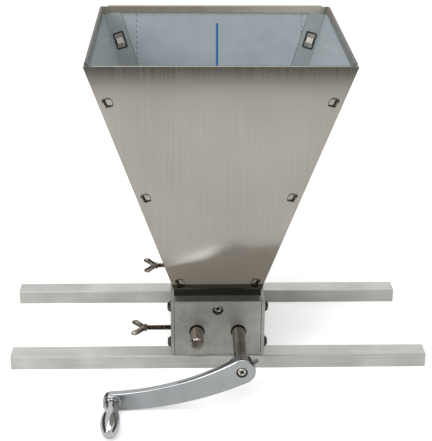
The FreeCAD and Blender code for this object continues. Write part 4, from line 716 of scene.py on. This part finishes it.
lean = math.radians(hopper["frontLean"])
tilt = math.radians(hopper["sideLean"])
skew = math.radians(hopper["cornerLean"])
for name, side, material in (("front", -1, plainFilm), ("rear", 1, markedFilm)):
    inward = Vector((0, -side * math.cos(lean), math.sin(lean)))
    inner = Vector((0, side * hopper["throatY"], hopper["foldZ"])) * mm + inward * hopper["sheet"] * mm
    keeps = []
    for end in (-1, 1):  # beside the flanges, towards the middle of the panel
        across = Vector((-end * math.cos(skew), side * math.sin(skew) * math.sin(lean),
                         math.sin(skew) * math.cos(lean)))
        corner = Vector((end * hopper["foldX"], side * hopper["throatY"], hopper["foldZ"])) * mm
        keeps.append((corner + across * (hopper["flange"] + hopper["filmFromFlange"]) * mm, across))
    mesh = makeFilmSheet(name + "Film", "hopper_" + name, [(inner, inward)], keeps, material)
    addPiece(name + "Film", mesh, "frame", "hopper_stainless")
for name, side in (("left", -1), ("right", 1)):
    inward = Vector((-side * math.cos(tilt), 0, math.sin(tilt)))
    inner = Vector((side * hopper["throatX"], 0, hopper["sideFoldZ"])) * mm + inward * hopper["sheet"] * mm
    planes = [(inner, inward)]
    flangeIn = 2 * hopper["sheet"] + hopper["flangeGap"]
    for end in (-1, 1):
        into = Vector((0, -end * math.cos(lean), math.sin(lean)))
        planes.append((Vector((0, end * hopper["throatY"], hopper["foldZ"])) * mm + into * flangeIn * mm, into))
    for part, faces, material in (("Film", planes[:1], plainFilm), ("FlangeFilm", planes[1:], shadedFlangeFilm)):
        mesh = makeFilmSheet(name + part, "hopper_" + name, faces, [], material)
        addPiece(name + part, mesh, "frame", "hopper_stainless")
print("film laid")

# Painted shade in and round the tab slots, and the bare windows inside the flanges with painted shade round them.
lance = {"inset": 8, "rows": (-1.2, 100.2, 201.6), "half": (4, 5.25), "round": 2.6, "under": 0.1, "thick": 0.03,
         "edge": 0.6, "edgeFrom": 1.2, "lip": 1.1, "lipFrom": 0.6, "lipUpTo": 1.4,
         "tabRoot": 2.6, "tabHalf": 2.8, "tip": -2.84, "tipIn": 0.2, "gap": 0.7, "behind": 1.03,
         "crease": 0.5, "creaseAt": 4.6, "creaseBow": 5, "creaseAngle": 0.75, "creaseOut": 0.05,
         "inside": 2.2, "rim": (5.6, 8.6), "rimRound": 1.8, "rimWide": 1.7, "rimIn": 0.04, "window": (3.85, 3.1),
         "windowAt": 0.65}


# Places of the rows along all four corners: X towards the panel's middle, Z into the hopper.
def cornerPlaces(across, depth, hands=(-1, 1)):
    places = []
    for side in (-1, 1):
        slope = Vector((0, side * math.sin(lean), math.cos(lean)))
        into = Vector((0, -side * math.cos(lean), math.sin(lean)))
        for end in (-1, 1):
            out = Vector((end, 0, 0))
            along = out * math.sin(skew) + slope * math.cos(skew)
            inner = -out * math.cos(skew) + slope * math.sin(skew)
            hand = 1 if inner.cross(along).dot(into) > 0 else -1
            if hand not in hands:
                continue
            facing = Matrix((inner, along * hand, into)).transposed().to_euler()
            corner = Vector((end * hopper["foldX"], side * hopper["throatY"], hopper["foldZ"]))
            for row in lance["rows"]:
                spot = corner + along * row + inner * across + into * depth
                places.append((*spot, *[math.degrees(v) for v in facing]))
    return places


# Flat strip along a path, widened to its left. A looped one comes back to its start.
def addBand(shape, path, wide, depth, looped=False):
    spots = path[-1:] + path + path[:1] if looped else path[:1] + path + path[-1:]
    left, right = [], []
    for behind, p, ahead in zip(spots, spots[1:], spots[2:]):
        way = Vector((ahead[0] - behind[0], ahead[1] - behind[1])).normalized()
        left.append(shape.verts.new(((p[0] - way.y * wide) * mm, (p[1] + way.x * wide) * mm, depth * mm)))
        right.append(shape.verts.new((p[0] * mm, p[1] * mm, depth * mm)))
    for i in range(len(path) if looped else len(path) - 1):
        j = (i + 1) % len(path)
        shape.faces.new([right[i], right[j], left[j], left[i]])


# Gives flat strips a thickness into the hopper.
def thicken(shape, name, material):
    made = bmesh.ops.extrude_face_region(shape, geom=shape.faces[:])["geom"]
    bmesh.ops.translate(shape, verts=[item for item in made if isinstance(item, bmesh.types.BMVert)],
                        vec=(0, 0, lance["thick"] * mm))
    return closeMesh(shape, name, material)


def roundedBox(halfX, halfY, turnRadius):
    spots = []
    for i, (sx, sy) in enumerate(quarters):
        centre = (sx * (halfX - turnRadius), sy * (halfY - turnRadius))
        spots += arc(centre, turnRadius, i * math.pi / 2, (i + 1) * math.pi / 2, 5)
    return spots


def makeSlotShades(hand):
    shape = bmesh.new()
    halfX, halfY = lance["half"]
    r = lance["round"]
    # painted shade along the upper lip, round to the corner's side of the slot
    upper = [(halfX - lance["edgeFrom"], halfY)]
    upper += arc((r - halfX, halfY - r), r, math.pi / 2, math.pi * 0.95, 6)
    addBand(shape, [(x, y * hand) for x, y in upper], lance["edge"] * hand, lance["under"])
    # painted shadow in the gap round the tab
    t, tip, gap, root = lance["tabHalf"], lance["tip"], lance["gap"], lance["tabRoot"]
    addBand(shape, [(root, t), (tip, t)], -gap, lance["behind"])
    addBand(shape, [(root, -t), (tip, -t)], gap, lance["behind"])
    side = tip + lance["tipIn"]
    addBand(shape, [(side, t + gap), (side, -t - gap)], -gap, lance["behind"])
    # painted shade along the crease where the tab leaves the sheet
    bow, angle = lance["creaseBow"], lance["creaseAngle"]
    crease = arc((lance["creaseAt"] - bow, 0), bow, -angle, angle, 7)
    addBand(shape, crease, lance["crease"], -lance["creaseOut"])
    return thicken(shape, "slotEdges", shadeBlack)


# The lower lip of a slot, whose cut edge catches the light, and the bright side beside the tab's tip.
def makeSlotLip(hand):
    shape = bmesh.new()
    halfX, halfY = lance["half"]
    r = lance["round"]
    lower = [(halfX - lance["lipFrom"], -halfY)]
    lower += arc((r - halfX, r - halfY), r, math.pi * 1.5, math.pi, 6) + [(-halfX, lance["lipUpTo"])]
    addBand(shape, [(x, y * hand) for x, y in lower], -lance["lip"] * hand, lance["under"])
    return thicken(shape, "slotLip", frontSheet)


# A black band of painted shade round each window.
def makeWindowShadeRim():
    shape = bmesh.new()
    addBand(shape, roundedBox(*lance["rim"], lance["rimRound"]), lance["rimWide"], 0, True)
    return thicken(shape, "windowRim", shadeBlack)


def makeWindowPatch():
    shape = bmesh.new()
    outer = [shape.verts.new((x * mm, y * mm, 0)) for x, y in roundedBox(*lance["rim"], lance["rimRound"])]
    x, y = lance["window"]
    inner = [shape.verts.new((sx * x * mm, sy * y * mm, 0)) for sx, sy in quarters]
    fillBetween(shape, outer, inner)
    return thicken(shape, "windowPatch", zincMetal)


for hand, name in ((-1, "A"), (1, "B")):  # left-handed and right-handed corners
    places = cornerPlaces(lance["inset"], 0, (hand,))
    addCopies("slotEdges" + name, makeSlotShades(hand), places, shadeBlack, "frame", "hopper_stainless")
    addCopies("slotLips" + name, makeSlotLip(hand), places, frontSheet, "frame", "hopper_stainless")
windowIn = lance["inset"] + lance["windowAt"]
rimPlaces = cornerPlaces(windowIn, lance["inside"] + lance["rimIn"])
addCopies("windowRims", makeWindowShadeRim(), rimPlaces, shadeBlack, "frame", "hopper_stainless")
patchPlaces = cornerPlaces(windowIn, lance["inside"])
addCopies("windowPatches", makeWindowPatch(), patchPlaces, zincMetal, "frame", "hopper_stainless")
print("slot edges drawn")

# Camera fitted to the photograph.
view = {"at": (-29.34, -953.90, 573.97), "yaw": 1.74, "pitch": 25.29, "roll": 0.51, "lens": 87.891}
yaw, pitch, roll = [math.radians(view[key]) for key in ("yaw", "pitch", "roll")]
ahead = Vector((math.sin(yaw) * math.cos(pitch), math.cos(yaw) * math.cos(pitch), -math.sin(pitch)))
right = Vector((math.cos(yaw), -math.sin(yaw), 0))
up = right.cross(ahead)
right, up = (right * math.cos(roll) + up * math.sin(roll), up * math.cos(roll) - right * math.sin(roll))
lens = bpy.data.cameras.new("camera")
lens.lens = view["lens"]
lens.sensor_width = 36
lens.sensor_fit = "AUTO"
lens.clip_end = 50
camera = bpy.data.objects.new("camera", lens)
camera.matrix_world = Matrix((right, up, -ahead)).transposed().to_4x4()
camera.location = Vector(view["at"]) * mm
scene.collection.objects.link(camera)
scene.camera = camera

# White table: it takes the shadow, and looks white to the camera where nothing shades it. Reflections end
# at its front edge, and the floor ahead of that is left out of them.
table = {"half": 6, "front": -0.47, "colour": "#f4f4f3", "roughness": 0.9, "shine": 0.1, "glow": (0.4, 0.7),
         "glowAt": (0.5, 2.2)}
tableMaterial, tree, shader = startMaterial("white table", 0, table["roughness"])
shader.inputs["Base Color"].default_value = linear(table["colour"])
shader.inputs["Specular IOR Level"].default_value = table["shine"]
paths = addNode(tree, "ShaderNodeLightPath").outputs
place = addNode(tree, "ShaderNodeTexCoord").outputs["Object"]
away = addNode(tree, "ShaderNodeVectorMath", {0: place}, operation="LENGTH").outputs["Value"]
# far from the lamps the table glows more, so that it stays white up to the horizon
(start, end), (least, most) = table["glowAt"], table["glow"]
level = addNode(tree, "ShaderNodeMapRange", {0: away, 1: start, 2: end, 3: least, 4: most}).outputs[0]
glow = addNode(tree, "ShaderNodeMath", {0: paths["Is Camera Ray"], 1: level}, operation="MULTIPLY").outputs[0]
shader.inputs["Emission Color"].default_value = (1, 1, 1, 1)
tree.links.new(glow, shader.inputs["Emission Strength"])
half = table["half"]
for name, near, far in (("table", table["front"], half), ("floorAhead", -half, table["front"])):
    topMesh = bpy.data.meshes.new(name)
    corners = [(-half, near, 0), (half, near, 0), (half, far, 0), (-half, far, 0)]
    topMesh.from_pydata(corners, [], [range(4)])
    topMesh.materials.append(tableMaterial)
    top = bpy.data.objects.new(name, topMesh)
    top.visible_glossy = name == "table"
    scene.collection.objects.link(top)

# Cards that are seen only in reflections, each with its tone: the shade before the hopper's foot, a board behind
# the camera, the dark room in front of the table's edge, and boards beside the table.
cards = {
    "shade": ("#c6c3bd", [(-0.07, -0.083, 0.0775), (0.03, -0.112, 0.0775), (0.07, -0.119, 0.0775),
                          (0.07, -0.066, 0.0775), (-0.07, -0.066, 0.0775)]),
    "frontBoard": ("#8f8b85", [(-0.45, -1.2, 0.42), (0.1, -1.2, 0.42), (0.1, -1.2, 1.0), (-0.45, -1.2, 1.0)]),
    "room": ("#1d1a17", [(-6, -4, -0.02), (6, -4, -0.02), (6, table["front"], -0.02),
                         (-6, table["front"], -0.02)]),
    "leftBoard": ("#67645f", [(-0.7, -0.7, 0.02), (-0.9, 1.6, 0.02), (-0.9, 1.6, 0.6), (-0.7, -0.7, 0.6)]),
    "rightBoard": ("#67645f", [(0.7, -0.7, 0.02), (0.9, 1.6, 0.02), (0.9, 1.6, 0.6), (0.7, -0.7, 0.6)]),
}
for name, (tone, corners) in cards.items():
    cloth, tree, shader = startMaterial(name + " cloth", 0, 1)
    shader.inputs["Base Color"].default_value = linear(tone)
    shader.inputs["Specular IOR Level"].default_value = 0
    cardMesh = bpy.data.meshes.new(name)
    cardMesh.from_pydata(corners, [], [range(len(corners))])
    cardMesh.materials.append(cloth)
    card = bpy.data.objects.new(name, cardMesh)
    scene.collection.objects.link(card)
    for sight in ("camera", "diffuse", "shadow", "transmission"):
        setattr(card, "visible_" + sight, False)

# White surroundings for the eye and for reflections, dimmer as a light.
studio = {"asLight": 0.45, "asSeen": 1.0}
world = bpy.data.worlds.new("studio")
scene.world = world
world.use_nodes = True
tree = world.node_tree
tree.nodes.clear()
paths = addNode(tree, "ShaderNodeLightPath").outputs
seen = paths["Is Camera Ray"]
for kind in ("Is Glossy Ray", "Is Transmission Ray"):
    seen = addNode(tree, "ShaderNodeMath", {0: seen, 1: paths[kind]}, operation="MAXIMUM").outputs[0]
strength = addNode(tree, "ShaderNodeMapRange", {0: seen, 3: studio["asLight"], 4: studio["asSeen"]}).outputs[0]
sky = addNode(tree, "ShaderNodeBackground", {"Color": (1, 1, 1, 1), "Strength": strength})
addNode(tree, "ShaderNodeOutputWorld", {"Surface": sky.outputs[0]})

lamps = [{"name": "overhead", "at": (-0.2, -0.2, 1.6), "aim": (0, 0, 0.1), "size": 1.6, "power": 19},
         {"name": "frontFill", "at": (-1.1, -1.36, 1.1), "aim": (0, 0, 0.05), "size": 0.6, "power": 10.4}]
for lamp in lamps:
    light = bpy.data.lights.new(lamp["name"], "AREA")
    light.size = lamp["size"]
    light.energy = lamp["power"]
    item = bpy.data.objects.new(lamp["name"], light)
    item.location = lamp["at"]
    item.rotation_euler = (Vector(lamp["aim"]) - Vector(lamp["at"])).to_track_quat("-Z", "Y").to_euler()
    scene.collection.objects.link(item)
scene.view_settings.view_transform = "Standard"
print("stage set")
